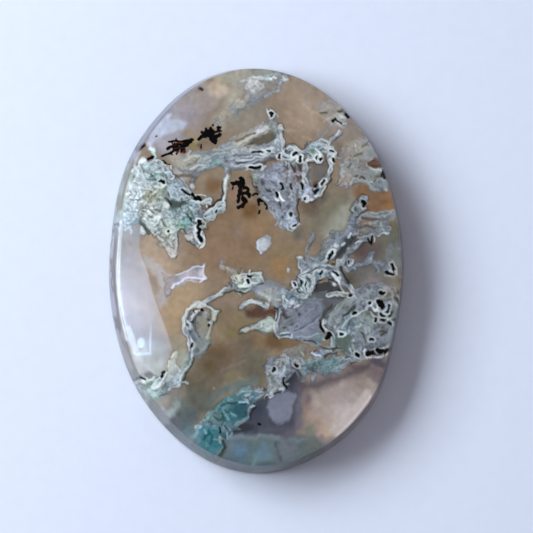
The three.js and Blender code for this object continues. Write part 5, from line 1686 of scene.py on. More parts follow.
    spot(178.6, 379.5, 0.9, 0.8, (86, 96, 110)),
    stroke([(151, 397.8), (154, 398.4), (157, 397.6)], 0.5, 0.8, (74, 90, 92)),
    stroke([(148, 386), (151, 383)], 1.2, 1.4, (138, 154, 142)),
    stroke([(141, 384), (145, 385)], 1.2, 1.2, (160, 156, 146)),
    # Painted grey shadow under the lower left moss
    stroke([(146, 374), (151, 374)], 1.6, 1.4, (150, 152, 158)),
    stroke([(153, 394), (155, 391.5)], 0.9, 0.9, (92, 132, 124)),
    stroke([(168, 394), (160, 396)], 1.0, 1.4, (118, 122, 120)),
    # The teal mass
    stroke([(240.5, 403.5), (245, 403.5)], 0.7, 0.8, (30, 44, 54)),
    stroke([(218.4, 428), (219.4, 433)], 0.9, 0.8, (10, 24, 22)),
    stroke([(224.8, 426), (227.4, 429.6)], 0.7, 0.8, (22, 56, 58)),
    stroke([(208, 430), (212, 436), (210, 444)], 0.8, 1.4, (36, 98, 98)),
    stroke([(222, 412), (224, 420), (221, 426)], 0.6, 1.2, (40, 96, 98)),
    stroke([(222, 406), (228, 403), (237, 402)], 1.0, 1.2, (58, 92, 100)),
    area([(236, 404), (246, 404), (248, 412), (246, 419), (238, 419), (234, 411)], 2, (64, 108, 120)),
    stroke([(214, 416), (218, 420), (222, 419)], 1.0, 1.2, (62, 98, 98)),
    stroke([(209, 421), (211, 426)], 0.9, 1.2, (80, 112, 110)),
    stroke([(203, 440), (206, 436), (209, 434)], 1.3, 1.2, (48, 104, 108)),
    stroke([(222, 441), (226, 447), (222, 456)], 1.6, 1.4, (66, 76, 68)),
    # The dark hollow and the pink corner
    stroke([(253, 403), (256, 407), (251, 414), (250, 420)], 1.3, 1.2, (58, 56, 66)),
    stroke([(270, 396), (276, 394), (281, 391.5)], 0.7, 0.8, (46, 44, 46)),
    # The foot of the stone
    stroke([(201, 444), (206, 450), (214, 455)], 1.2, 1.4, (56, 98, 106)),
]

# Pale lines and spots in the moss: partly its own pale colour, partly painted highlights

GLEAMS = [
    # The haze at the top
    stroke([(270, 79.5), (272, 76.5), (275, 78)], 0.6, 0.7, (210, 226, 230)),
    stroke([(283, 76), (286, 78.5), (284, 80)], 0.7, 0.8, (206, 212, 212)),
    stroke([(252, 76), (260, 77)], 0.9, 1, (190, 200, 204)),
    spot(250, 86, 2.4, 1.6, (186, 188, 196)),
    stroke([(266, 108), (266, 112), (269, 117)], 0.7, 0.9, (186, 190, 194)),
    stroke([(274, 111), (277, 115), (279, 118)], 0.8, 0.9, (176, 186, 192)),
    # The upper right
    stroke([(336, 134), (339, 131.5)], 1.2, 0.9, (192, 196, 200)),
    stroke([(320, 112), (327, 108), (336, 106)], 0.8, 1, (158, 150, 136)),
    stroke([(323, 123), (329, 118), (337, 114), (345, 112)], 0.8, 1, (166, 160, 148)),
    stroke([(333, 119), (339, 125), (343, 128)], 0.7, 0.9, (160, 156, 146)),
    stroke([(341, 107), (347, 110), (352, 116)], 0.7, 0.9, (160, 152, 138)),
    # The pale patch at the upper left
    stroke([(150, 149), (153, 151)], 1.6, 1.0, (204, 216, 220)),
    stroke([(152, 153), (156, 157)], 0.9, 0.8, (172, 206, 202)),
    # The cloud at the left
    stroke([(139, 163), (144, 161)], 1.6, 1.0, (212, 222, 236)),
    stroke([(166, 165), (171, 166), (172, 169)], 0.8, 0.7, (208, 214, 214)),
    stroke([(165, 173), (170, 172), (174, 175), (172, 178)], 0.7, 0.7, (196, 208, 216)),
    spot(168.5, 174.5, 1.6, 1.2, (140, 176, 178)),
    stroke([(156, 186), (161, 187), (167, 185)], 0.9, 1.0, (204, 208, 206)),
    stroke([(181, 178), (186, 185), (190, 191)], 0.7, 0.9, (176, 186, 194)),
    stroke([(170, 190), (172, 197), (178, 199), (183, 197)], 0.7, 0.9, (178, 188, 198)),
    stroke([(196, 195), (201, 194.5), (206, 196)], 0.7, 0.8, (178, 194, 198)),
    stroke([(190, 200), (197, 202), (204, 201), (210, 199)], 0.9, 0.9, (182, 196, 200)),
    spot(193, 187, 1.8, 1.2, (188, 194, 198)),
    stroke([(165, 203), (168, 204), (166, 207)], 1.4, 0.9, (204, 208, 208)),
    stroke([(200, 243), (204, 239), (204.5, 244), (200, 247)], 1.2, 0.9, (204, 216, 218)),
    stroke([(196, 226), (194, 232), (196, 240)], 0.7, 0.9, (192, 200, 202)),
    stroke([(203, 219), (206, 223), (204, 228)], 0.8, 0.9, (186, 196, 190)),
    stroke([(186, 236), (189, 239), (192, 237)], 1.2, 1.0, (190, 190, 190)),
    spot(173.5, 256.5, 2, 1.2, (204, 202, 200)),
    spot(167, 249, 1.6, 1.4, (196, 194, 188)),
    stroke([(141, 228), (143.5, 232)], 1.6, 1.2, (206, 214, 214)),
    stroke([(190, 170), (196, 166), (202, 166)], 0.8, 0.9, (184, 192, 188)),
    # The band and the arch below it
    stroke([(281, 148), (284, 153), (288, 156)], 0.7, 0.8, (196, 204, 210)),
    stroke([(281, 128), (284, 130)], 1.0, 0.9, (188, 190, 194)),
    stroke([(281, 136), (282, 144)], 1.2, 1.1, (176, 184, 190)),
    stroke([(264, 133), (269, 129.5)], 1.3, 1.1, (192, 194, 200)),
    stroke([(246, 165.5), (250, 164)], 0.7, 0.8, (188, 196, 198)),
    stroke([(238, 144), (250, 138), (262, 132), (269, 128.5)], 0.8, 0.8, (188, 192, 182)),
    stroke([(214, 150), (226, 148), (238, 147)], 0.8, 1.1, (162, 168, 158)),
    stroke([(206, 158), (218, 153.5), (230, 151)], 0.6, 1.0, (160, 168, 166)),
    stroke([(236, 160), (252, 159), (264, 156), (274, 153)], 0.6, 0.7, (188, 196, 202)),
    stroke([(234, 166), (246, 163), (258, 160)], 0.6, 0.8, (168, 176, 184)),
    stroke([(184, 160), (191, 157), (199, 156)], 0.8, 1.0, (184, 184, 172)),
    # The arch and the dendrites
    stroke([(217, 211), (222, 209), (225, 205)], 0.8, 0.9, (178, 194, 200)),
    stroke([(206, 218), (212, 215), (217, 216)], 0.6, 0.9, (166, 178, 176)),
    stroke([(227.4, 179), (226.4, 187), (224.8, 195), (222.6, 201)], 0.7, 0.7, (206, 216, 212)),
    # The grey mass in the middle
    stroke([(278.5, 192.5), (281, 196.5), (284, 199.5)], 1.0, 0.7, (232, 240, 244)),
    stroke([(276, 198), (280, 200)], 0.7, 0.7, (206, 214, 220)),
    stroke([(262, 170), (265, 166)], 0.9, 0.8, (192, 200, 202)),
    # The row of knobs and its loop
    stroke([(287.5, 229.5), (291, 231.8), (296, 229), (300, 225)], 0.7, 0.7, (196, 208, 214)),
    stroke([(292, 225.5), (297, 222.5)], 0.6, 0.7, (188, 200, 208)),
    stroke([(301.5, 154), (302, 158), (300.5, 160.5)], 0.8, 0.7, (226, 234, 234)),
    stroke([(308, 160.5), (314, 160), (319.5, 160), (320.5, 155)], 0.6, 0.7, (214, 224, 224)),
    stroke([(315.5, 149), (318, 152), (320.5, 155)], 0.7, 0.7, (212, 222, 224)),
    stroke([(326, 186), (324, 190), (321, 194.5), (315, 195.5)], 0.7, 0.7, (222, 230, 230)),
    stroke([(322, 180.5), (319.5, 185), (316, 189)], 0.6, 0.7, (214, 222, 222)),
    stroke([(304, 199), (306, 203), (309, 200)], 0.9, 0.7, (230, 236, 236)),
    stroke([(294, 148), (290, 147), (287, 149)], 0.9, 0.9, (196, 204, 202)),
    # The hook and the ridges at the right
    stroke([(364, 196), (367, 197.5)], 1.2, 0.9, (196, 204, 204)),
    stroke([(363, 207.5), (365, 208)], 0.7, 0.7, (208, 214, 212)),
    stroke([(349, 237), (351.5, 234.5)], 1.3, 0.8, (198, 206, 216)),
    stroke([(356, 243), (359, 241), (362, 241.5)], 0.8, 0.7, (188, 194, 200)),
    stroke([(375, 242), (376, 239)], 0.6, 0.7, (200, 204, 200)),
    # The net
    stroke([(342, 245), (344, 243)], 1.1, 0.8, (190, 200, 208)),
    stroke([(335, 243.5), (336.5, 246.5)], 0.7, 0.7, (186, 196, 206)),
    stroke([(331, 259.5), (335.5, 253.5), (335, 250)], 0.6, 0.6, (190, 200, 208)),
    stroke([(353, 263), (353.5, 260)], 0.8, 0.7, (212, 218, 222)),
    stroke([(298.5, 257), (301, 257)], 1.2, 0.8, (196, 206, 206)),
    stroke([(304, 276), (308, 273.5)], 0.6, 0.7, (184, 200, 212)),
    stroke([(299.5, 276), (302, 279)], 0.7, 0.7, (190, 208, 212)),
    stroke([(303.8, 280.5), (304, 286)], 0.5, 0.5, (190, 218, 220)),
    stroke([(333, 274.5), (336, 278), (338, 282)], 1.1, 0.7, (210, 216, 224)),
    spot(333.5, 284, 1.8, 1.2, (196, 200, 206)),
    # The branch at the left
    area([(158, 270), (172, 273.5), (177, 273.5), (174.5, 280), (173.5, 290), (172, 300), (160, 306),
          (158, 288)], 2.2, (152, 146, 148)),
    stroke([(176.5, 275), (183.5, 272), (190, 268.5), (195, 266.5), (203, 267)], 0.7, 0.8, (208, 206, 216)),
    stroke([(204.5, 266.5), (203.6, 272), (204.8, 278.5), (201, 283)], 1.0, 0.9, (224, 218, 234)),
    stroke([(172.5, 288), (176, 283.5), (181, 281), (188, 278.4), (196, 277.6), (203, 279)],
           0.9, 1.1, (212, 216, 232)),
    stroke([(196, 283.5), (200, 284)], 0.6, 0.8, (206, 190, 186)),
    # The knot, the lump and the hexagon
    stroke([(244, 305.5), (252, 303.2), (260, 304)], 0.9, 0.9, (188, 196, 204)),
    stroke([(265, 303), (268.5, 304.5), (267, 308)], 0.7, 0.8, (186, 196, 200)),
    stroke([(257, 273), (261, 273), (263, 276), (262, 279.5)], 0.6, 0.7, (198, 208, 204)),
    stroke([(243, 283), (240, 285.5), (245, 285.5)], 1.0, 0.8, (212, 222, 216)),
    stroke([(237, 275), (241, 277), (240, 280)], 1.3, 1.2, (196, 204, 184)),
    stroke([(253, 281.5), (256, 282.5)], 1.0, 0.8, (196, 204, 210)),
    spot(285.5, 306, 2.2, 1.4, (168, 180, 192)),
    stroke([(296.5, 287), (294, 288.5), (291, 289.5)], 0.7, 0.7, (202, 216, 220)),
    stroke([(259, 241), (257.5, 248), (262, 253.5)], 0.6, 0.7, (206, 214, 226)),
    # The loop
    stroke([(184, 325), (184, 317), (187, 311), (192, 307), (199, 301.5)], 1.0, 1.2, (200, 204, 198)),
    stroke([(191, 320), (192, 316), (197, 314)], 0.7, 0.8, (192, 200, 206)),
    stroke([(187.4, 321), (189.6, 324), (189, 329)], 1.0, 0.9, (202, 212, 224)),
    stroke([(206, 306), (212, 309), (216, 312)], 0.9, 0.9, (186, 196, 196)),
    stroke([(219, 312), (217, 316), (214, 320)], 0.9, 0.9, (192, 194, 184)),
    stroke([(208, 338), (210, 330), (212, 326)], 1.3, 1.4, (172, 168, 150)),
    stroke([(192.4, 354), (192, 359), (190, 364), (187, 368), (184.5, 373)], 0.6, 0.8, (194, 210, 208)),
    stroke([(201, 353), (206, 347), (209, 344)], 1.0, 1.4, (136, 144, 146)),
    # The ball and the post
    stroke([(281, 311), (278.5, 318), (277.5, 328)], 0.8, 0.8, (184, 192, 206)),
    stroke([(262, 322), (268, 319), (274, 321)], 1.6, 1.6, (178, 192, 182)),
    stroke([(264, 327), (268, 329), (272, 327)], 1.2, 1.2, (186, 192, 196)),
    spot(263.5, 327.5, 1.2, 1, (136, 152, 146)),
    stroke([(243, 330.5), (250, 328.5), (256, 326)], 0.8, 1, (176, 178, 172)),
    # The membrane
    stroke([(324, 321.5), (323, 324.5), (326, 328.5), (329, 331.5)], 0.7, 0.7, (206, 214, 222)),
    stroke([(279, 336), (279.5, 338.3), (286, 337.8), (291, 337), (292, 334.5)], 0.6, 0.6, (206, 220, 224)),
    stroke([(281, 333.5), (289, 332.8)], 0.5, 0.6, (196, 212, 216)),
    spot(292, 301.5, 2.6, 1.4, (184, 192, 208)),
    stroke([(286, 330), (300, 322), (314, 308)], 0.6, 1.0, (138, 142, 156)),
    stroke([(290, 333), (306, 328), (320, 318)], 0.6, 1.0, (140, 146, 160)),
    stroke([(284, 322), (294, 316), (304, 306)], 0.8, 1.2, (124, 132, 140)),
    stroke([(296, 337), (310, 336), (322, 334)], 0.8, 0.9, (148, 160, 172)),
    # The mass at the right
    stroke([(347, 297), (352, 298), (353.5, 296)], 0.8, 0.8, (198, 200, 204)),
    stroke([(370.5, 305.5), (372.5, 303.5)], 0.8, 0.7, (222, 228, 232)),
    stroke([(374, 310), (377, 309.5), (377.5, 306)], 0.8, 0.7, (212, 218, 222)),
    stroke([(364, 308), (368, 306.5)], 0.7, 0.8, (186, 194, 202)),
    stroke([(357, 310.5), (358, 313)], 0.6, 0.7, (196, 204, 204)),
    spot(343.5, 334.5, 1.3, 1.2, (150, 196, 204)),
    stroke([(352, 299), (344, 305), (335, 314), (330, 322)], 1.4, 1.6, (142, 154, 154)),
    stroke([(347, 298), (338, 305), (330, 315)], 0.7, 1.0, (158, 166, 164)),
    stroke([(366, 309), (358, 313.6), (349, 320), (342, 327)], 0.8, 0.8, (178, 190, 190)),
    stroke([(372, 290), (362, 296), (357, 304)], 1.2, 1.4, (138, 146, 148)),
    stroke([(360, 318), (368, 318), (372, 326)], 1.8, 2, (132, 144, 140)),
    stroke([(374, 334), (382, 338), (390, 334)], 1.6, 1.8, (128, 130, 142)),
    # The teal sheet
    stroke([(312, 353.5), (315, 355), (320, 356)], 1.0, 0.9, (196, 204, 220)),
    stroke([(365, 349), (364, 352), (366, 356), (373, 357.5), (381, 357)], 0.6, 0.7, (204, 208, 212)),
    stroke([(383, 356), (388, 353.5)], 0.5, 0.7, (196, 200, 206)),
    spot(313, 378, 2.2, 1.4, (148, 156, 172)),
    stroke([(334, 374), (342, 372)], 1.4, 1.4, (128, 134, 148)),
    # The arc
    spot(283.5, 389, 2, 1.2, (180, 188, 200)),
    stroke([(280, 377), (283, 372), (284, 366)], 0.8, 1.0, (176, 186, 196)),
    stroke([(280, 355), (285, 355), (286, 360)], 0.8, 1.0, (168, 170, 176)),
    # The lower left
    stroke([(171.4, 357), (174, 354), (175.6, 352.5)], 1.0, 1.0, (218, 218, 208)),
    stroke([(170, 361), (169, 367)], 0.6, 0.8, (214, 216, 208)),
    stroke([(136, 379.6), (140, 381.2), (145, 381.6)], 1.2, 1.0, (232, 238, 236)),
    stroke([(138, 384), (142, 388.5)], 0.8, 0.9, (196, 214, 212)),
    stroke([(148, 380.5), (153, 377.5)], 0.8, 0.9, (212, 216, 206)),
    stroke([(151.5, 387.5), (155, 382), (159, 378)], 0.6, 0.8, (196, 212, 206)),
    stroke([(153.5, 389.5), (158, 386), (163, 379), (167, 372)], 0.7, 0.8, (202, 214, 216)),
    stroke([(152, 396.5), (157, 396.4)], 0.7, 0.8, (148, 194, 190)),
    stroke([(147, 394), (150, 390)], 1.0, 1.0, (196, 214, 208)),
    stroke([(178, 383), (182, 379), (183, 374)], 0.7, 0.8, (190, 200, 208)),
    stroke([(176.6, 352.5), (174.5, 358), (172.5, 364), (170, 372), (168, 380)], 1.6, 1.2, (176, 182, 174)),
    # The teal mass
    stroke([(240, 401.5), (246, 401)], 0.7, 0.7, (148, 184, 202)),
    stroke([(223, 408), (226, 415), (228, 420)], 0.7, 1.0, (112, 146, 158)),
    stroke([(237, 423), (243, 421), (248, 418)], 0.8, 1.0, (112, 148, 156)),
    stroke([(226, 433), (228, 438), (232, 433)], 1.0, 1.0, (128, 154, 164)),
    stroke([(231, 413), (235, 416)], 1.0, 1.2, (100, 140, 150)),
    stroke([(194, 437), (197, 431), (199, 427)], 1.2, 1.2, (116, 150, 162)),
    stroke([(204, 430), (206, 434)], 0.7, 0.8, (120, 160, 172)),
    # The dark hollow and the pink corner
    stroke([(251, 408), (254, 406)], 1.0, 0.9, (168, 190, 202)),
    stroke([(268, 395), (273, 395)], 1.2, 1.0, (170, 178, 188)),
]


# Growing the moss on fine canvases

# Painted shade: the colour of the dark outline just outside a growth's edge
EDGE_SHADE_COLOUR = (34, 34, 28)
# Pale colour of rims, partly painted highlight, and of pore collars
PALE_LINE = (238, 245, 246)
CORE = (4, 6, 6)
DENDRITE_BROWN = (70, 36, 22)
BARE_RISE = -0.08  # rise where nothing grew
BARE = -9.0  # cover where nothing grew
SHOWN = -2.4  # the mesh is kept where the cover is more than this
OUTERMOST = 0.985  # and where the share of the dome is less than this
STEEP_RIM = (0.957, 0.987)  # between these shares of the dome the moss dives into the ground
STEEP_RISE = -0.12
LOWEST_RISE = 0.03
MARK_SEEN = 0.02  # a mark covers where its share is more than this

# Noise in the moss, in layers of strength, size and seed, and of its width where it makes lines
CANVAS_WAVER = 1.0
RIDGES = [(1.0, 6.5, 11, 0.14), (0.6, 4, 16, 0.16)]
CLEFTS = [(1.0, 7.5, 12, 0.12), (0.6, 4.5, 17, 0.14)]
# Ridge lines are painted light and cleft lines painted shade, added to the moss's grain
RIDGE_LIGHT = 0.42
CLEFT_SHADE = 0.38
GRAIN = [(0.10, 7, 15), (0.14, 3.4, 13), (0.20, 1.9, 14)]
RELIEF = [(0.06, 7, 15), (0.05, 3.4, 13), (0.03, 1.9, 14)]
RAGGED_AREA = [(0.8, 5, 31), (0.5, 2.4, 32)]
RAGGED_LINE = [(0.3, 2.2, 34)]
LINE_SWELLING = [(0.28, 4.5, 33)]
PORE_SWELLING = [(0.35, 2.6, 41)]

# The edge of a growth, in pixels
GROWTH_ROOM = 7  # room that a growth needs round its points
MARK_ROOM = 3
PORE_ROOM = 4
PLUMP = 0.1  # a growth rises this much more, until this far inside its edge
PLUMP_INSIDE = 3
FOOT = 1.4  # how far outside its edge a growth starts to rise
FOOT_COVER = 0.2
PORE_CORE = (-0.6, 0.2)  # the dark core starts between these distances inside a pore's edge
PORE_SINK = 0.12

# A line along an edge: how far inside it lies, its width, and the size, seed and middle of the noise
# that breaks it up
EdgeLine = namedtuple("EdgeLine", "inside width size seed middle")
BREAKING = 0.9  # strength of that noise
# The dark line is painted shade just outside a growth's edge
PAINTED_EDGE_SHADE = EdgeLine(-0.8, 0.8, 11, 21, 0.55)
# The pale line just inside a growth's edge is partly its own pale rim and partly painted highlight
PALE_RIM_AND_HIGHLIGHT = EdgeLine(0.9, 0.85, 9, 22, 0.5)

# A pore's edge line and its colour, and its rise, or None where it sinks into what it lies in
PoreStyle = namedtuple("PoreStyle", "line colour rise")
OPEN_PORE = PoreStyle(EdgeLine(-1.5, 0.8, 6, 42, 0.7), PALE_LINE, None)
DENDRITE = PoreStyle(EdgeLine(-0.6, 0.5, 6, 42, 0.7), DENDRITE_BROWN, 0.12)

STRAND_GAP = 1.5  # pixels between the points of a strand's route

# Random twigs and specks in a mass
TWIG_TRIES = 1.6  # tries for each twig of the mass
TWIG_OUTSIDE = -1.5  # a twig may start this far outside the mass
TWIG_JOINTS = 3
TWIG_BEND = 0.8  # radians at each joint
TWIG_STEP = (1.2, 2.6)
TWIG_GAP = 0.9
TWIG_WIDTH = (0.35, 0.75)  # shares of the mass's own width
TWIG_SHADE = (0.72, 1.38)
TWIG_LIKE_MASS = 0.5  # chance of a twig in the style of its mass
SPECKS_PER_TWIG = 2
SPECK_COLOUR = (76, 78, 62)
SPECK_INSIDE = 1
SPECK_STRENGTH = (0.35, 0.75)
SPECK_REACH = (0.3, 0.8)
SPECK_SOFT = (0.7, 1.1)
SPECK_SINK = -0.05

# Marks that are laid over the moss
RING_SHADE = 1.05
KNOB_SHADE = 1.15
GAP_SINK = -0.12
# Gap colours are laid dimmer, painted shade
GAP_DIM = 0.7
GLEAM_RISE = 0.06
# Gleam colours are laid brighter, painted highlight
GLEAM_LIFT = 1.22
FAINT_COLLAR = 0.4
STRONG_COLLAR = 0.9

# Random spikes along the dendrites
DENDRITE_WIDTH_SHARE = 0.85
DENDRITE_GAP = 1.2
SPIKE_CHANCE = 0.25
SPIKE_DEGREES = (25, 75)
SPIKE_LENGTH = (1.6, 3.4)
SPIKE_WIDTHS = (1.5, 0.8)  # near its foot and all along it
DENDRITE_COLLARS = (0.8, 0.0)  # all edges are laid first, and all cores over them
STREAK_STRENGTH = 0.8

# A canvas: the corners of its region in pixels, and the distance between its points
Region = namedtuple("Region", "left top right bottom step")
UPPER = Region(106, 60, 404, 264, 0.64)
LOWER = Region(106, 188, 412, 476, 0.74)
DARK = Region(114, 80, 272, 216, 0.6)


# The upper canvas ends at these heights, each up to a place across
UPPER_ENDS = [(215, 262), (340, 233), (math.inf, 197)]


def in_upper(points):
    """Whether something grows on the upper canvas, by its middle"""
    across, down = np.mean(points, axis=0)
    return down < next(end for place_across, end in UPPER_ENDS if across < place_across)


def mixed(colours, colour, share):
    return colours * (1 - share[..., None]) + colour * share[..., None]


def routed(points, gap=STRAND_GAP):
    """A smooth route through points, with its own points about gap apart"""
    corners = np.asarray(points, float)
    if len(corners) < 3:
        return corners
    ends = np.concatenate([[2 * corners[0] - corners[1]], corners, [2 * corners[-1] - corners[-2]]])
    route = []
    for before, start, end, after in zip(ends, ends[1:], ends[2:], ends[3:]):
        steps = max(2, int(np.linalg.norm(end - start) / gap))
        for share in np.arange(steps) / steps:
            curve = 2 * start + (end - before) * share
            curve = curve + (2 * before - 5 * start + 4 * end - after) * share**2
            curve = curve + (3 * start - before - 3 * end + after) * share**3
            route.append(curve / 2)
    return np.array([*route, corners[-1]])


def broken_line(line, pixels, inward):
    """How strongly an edge line shows at a distance inside the edge"""
    comes = smooth_step(line.middle + BREAKING * noise(pixels, line.size, line.seed))
    return comes * bell((inward - line.inside) / line.width)


class Canvas:
    """A grid of pixels with a colour, a rise above the ground and a cover of growth at each"""

    def __init__(self, region):
        across = np.arange(region.left, region.right, region.step)
        down = np.arange(region.top, region.bottom, region.step)
        self.region = region
        self.pixels = np.stack(np.meshgrid(across, down), axis=-1)
        self.moved = wavered(self.pixels, CANVAS_WAVER)
        self.moss = painted(self.pixels, MOSS_BASE, MOSS_PATCHES)
        self.colours = painted(self.pixels, GROUND_BASE, GROUND_PATCHES)
        self.rise = np.full(self.pixels.shape[:-1], BARE_RISE)
        self.cover = np.full(self.pixels.shape[:-1], BARE)
        # The grain holds random tone, painted light on ridge lines and painted shade in cleft lines
        lines = RIDGE_LIGHT * creased(self.pixels, RIDGES) - CLEFT_SHADE * creased(self.pixels, CLEFTS)
        self.grain = layered(self.pixels, GRAIN) + lines
        self.relief = layered(self.pixels, RELIEF)

    def window(self, points, room):
        """Slices of the grid that hold points and some room round them"""
        corners = np.asarray(points, float)
        low = (corners.min(axis=0) - room - self.pixels[0, 0]) / self.region.step
        high = (corners.max(axis=0) + room - self.pixels[0, 0]) / self.region.step
        columns, rows = [slice(max(0, int(start)), max(0, int(end) + 2)) for start, end in zip(low, high)]
        return rows, columns

    def lay(self, part, inward, style, shade=1.0):
        """Lay a growth: inward is the distance inside its edge"""
        pixels = self.pixels[part]
        # The dark outline just outside the edge is painted shade
        outline = style.dark * broken_line(PAINTED_EDGE_SHADE, pixels, inward)
        body = style.cover * smooth_step(inward / style.soft + 0.5)
        # The pale rim just inside the edge is partly the moss's own pale edge and partly painted highlight
        rim = style.rim * broken_line(PALE_RIM_AND_HIGHLIGHT, pixels, inward)
        moss = self.moss[part] * (shade * (1 + style.grain * self.grain[part]))[..., None]
        colours = mixed(self.colours[part], linear(EDGE_SHADE_COLOUR), outline)
        colours = mixed(colours, moss, body)
        self.colours[part] = mixed(colours, linear(PALE_LINE), rim)
        height = style.rise + PLUMP * smooth_step(inward / PLUMP_INSIDE) + self.relief[part]
        ease = between(inward, -FOOT, style.soft) * min(1.0, style.cover + FOOT_COVER)
        self.rise[part] = self.rise[part] * (1 - ease) + height * ease
        self.cover[part] = np.maximum(self.cover[part], inward)

    def lay_area(self, points, style):
        part = self.window(points, GROWTH_ROOM)
        pixels = self.moved[part]
        if pixels.size:
            self.lay(part, edge_distance(pixels, points) + layered(pixels, RAGGED_AREA), style)

    def lay_line(self, points, width, style, shade=1.0):
        part = self.window(points, width / 2 + GROWTH_ROOM)
        pixels = self.moved[part]
        if pixels.size:
            half = width / 2 * (1 + layered(pixels, LINE_SWELLING))
            inward = half - line_distance(pixels, points) + layered(pixels, RAGGED_LINE)
            self.lay(part, inward, style, shade)

    def tangle(self, chance, mass):
        """Short twigs at random in a mass"""
        corners = np.asarray(mass.outline, float)
        low, high = corners.min(axis=0), corners.max(axis=0)
        for _ in range(int(TWIG_TRIES * mass.twigs)):
            start = np.array([chance.uniform(low[0], high[0]), chance.uniform(low[1], high[1])])
            if edge_distance(start, corners) < TWIG_OUTSIDE:
                continue
            heading = chance.uniform(0, 2 * math.pi)
            points = [start]
            for _ in range(TWIG_JOINTS):
                heading += chance.uniform(-TWIG_BEND, TWIG_BEND)
                step = chance.uniform(*TWIG_STEP)
                points.append(points[-1] + step * np.array([math.cos(heading), math.sin(heading)]))
            style = mass.style if chance.random() < TWIG_LIKE_MASS else TANGLED
            width = mass.width * chance.uniform(*TWIG_WIDTH)
            self.lay_line(routed(points, TWIG_GAP), width, style, chance.uniform(*TWIG_SHADE))

    def speckle(self, chance, mass):
        """Faint dark specks at random in a mass"""
        corners = np.asarray(mass.outline, float)
        low, high = corners.min(axis=0), corners.max(axis=0)
        for _ in range(mass.twigs * SPECKS_PER_TWIG):
            middle = (chance.uniform(low[0], high[0]), chance.uniform(low[1], high[1]))
            if edge_distance(np.array(middle), corners) > SPECK_INSIDE:
                strength = chance.uniform(*SPECK_STRENGTH)
                reach = chance.uniform(*SPECK_REACH)
                speck = spot(*middle, reach, chance.uniform(*SPECK_SOFT), SPECK_COLOUR)
                self.mark(speck, SPECK_SINK, strength)

    def mark(self, patch, rise_change, strength=1.0, light=1.0):
        """Colour a patch and raise or sink it a little"""
        part = self.window(patch.points, patch.reach + patch.soft + MARK_ROOM)
        pixels = self.moved[part]
        if pixels.size:
            share = strength * patch_share(pixels, patch)
            self.colours[part] = mixed(self.colours[part], light * linear(patch.colour), share)
            changed = np.maximum(self.rise[part] + rise_change, LOWEST_RISE)
            self.rise[part] = self.rise[part] * (1 - share) + changed * share
            covered = np.maximum(self.cover[part], 0.0)
            self.cover[part] = np.where(share > MARK_SEEN, covered, self.cover[part])

    def pore(self, width, points, collar, style):
        """A near-black line whose edge line is more or less strong, by the collar"""
        part = self.window(points, width / 2 + PORE_ROOM)
        pixels = self.moved[part]
        if not pixels.size:
            return
        half = width / 2 * (1 + layered(pixels, PORE_SWELLING))
        inward = half - line_distance(pixels, points)
        edge = collar * broken_line(style.line, pixels, inward)
        core = between(inward, *PORE_CORE)
        colours = mixed(self.colours[part], linear(style.colour), edge)
        self.colours[part] = mixed(colours, linear(CORE), core)
        sunk = np.maximum(self.rise[part] - PORE_SINK, LOWEST_RISE) if style.rise is None else style.rise
        self.rise[part] = self.rise[part] * (1 - core) + sunk * core
        self.cover[part] = np.maximum(self.cover[part], inward)

    def mesh(self, name):
        """The covered part of the canvas as a mesh"""
        points = place(self.pixels, 0.0)
        dive = between(dome_share(points), *STEEP_RIM)
        rise = self.rise * (1 - dive) + STEEP_RISE * dive
        points = place(self.pixels, rise)
        points[..., 2] = np.minimum(points[..., 2], dome_height(points) - SKIN_GAP)
        kept = (self.cover > SHOWN) & (dome_share(points) < OUTERMOST)
        corners = [kept[:-1, :-1], kept[:-1, 1:], kept[1:, 1:], kept[1:, :-1]]
        rows, columns = np.nonzero(np.logical_and.reduce(corners))
        width = self.pixels.shape[1]
        first = rows * width + columns
        quads = np.stack([first, first + width, first + width + 1, first + 1], axis=1)
        used, quads = np.unique(quads, return_inverse=True)
        piece = make_mesh(name, points.reshape(-1, 3)[used], quads.reshape(-1, 4))
        add_tint(piece, self.colours.reshape(-1, 3)[used])
        return piece


def grow_moss(region, wanted):
    """A canvas of moss with everything whose points are wanted on it"""
    canvas = Canvas(region)
    chance = random.Random(region.top)
    masses = [mass for mass in MASSES.values() if wanted(mass.outline)]
    for mass in masses:
        canvas.lay_area(mass.outline, mass.style)
    for mass in masses:
        canvas.tangle(chance, mass)
    for style, width, points in STRANDS.values():
        if wanted(points):
            canvas.lay_line(routed(points), width, style)
    for middle, radius in RINGS.values():
        if wanted([middle]):
            canvas.lay_line([middle], 2 * radius, CRISP, RING_SHADE)
    for middle, radius in KNOBS.values():
        if wanted([middle]):
            canvas.lay_line([middle], 2 * radius, CLEAR, KNOB_SHADE)
    for mass in masses:
        canvas.speckle(chance, mass)
    for patches, change, light in ((GAPS_AND_SHADOWS, GAP_SINK, GAP_DIM), (GLEAMS, GLEAM_RISE, GLEAM_LIFT)):
        for patch in patches:
            if wanted(patch.points):
                canvas.mark(patch, change, light=light)
    for pores, collar in ((PORES, FAINT_COLLAR), (COLLARED_PORES, STRONG_COLLAR)):
        for width, points in pores.values():
            if wanted(points):
                canvas.pore(width, points, collar, OPEN_PORE)
    return canvas


def spikes(chance, route):
    """Widths and routes of short spikes at random along a route"""
    lines = []
    for start, beyond in zip(route, route[1:]):
        if chance.random() < SPIKE_CHANCE:
            run = beyond - start
            side = chance.choice([-1, 1]) * math.radians(chance.uniform(*SPIKE_DEGREES))
            heading = math.atan2(run[1], run[0]) + side
            end = start + chance.uniform(*SPIKE_LENGTH) * np.array([math.cos(heading), math.sin(heading)])
            lines += zip(SPIKE_WIDTHS, ([start, (start + end) / 2], [start, end]))
    return lines


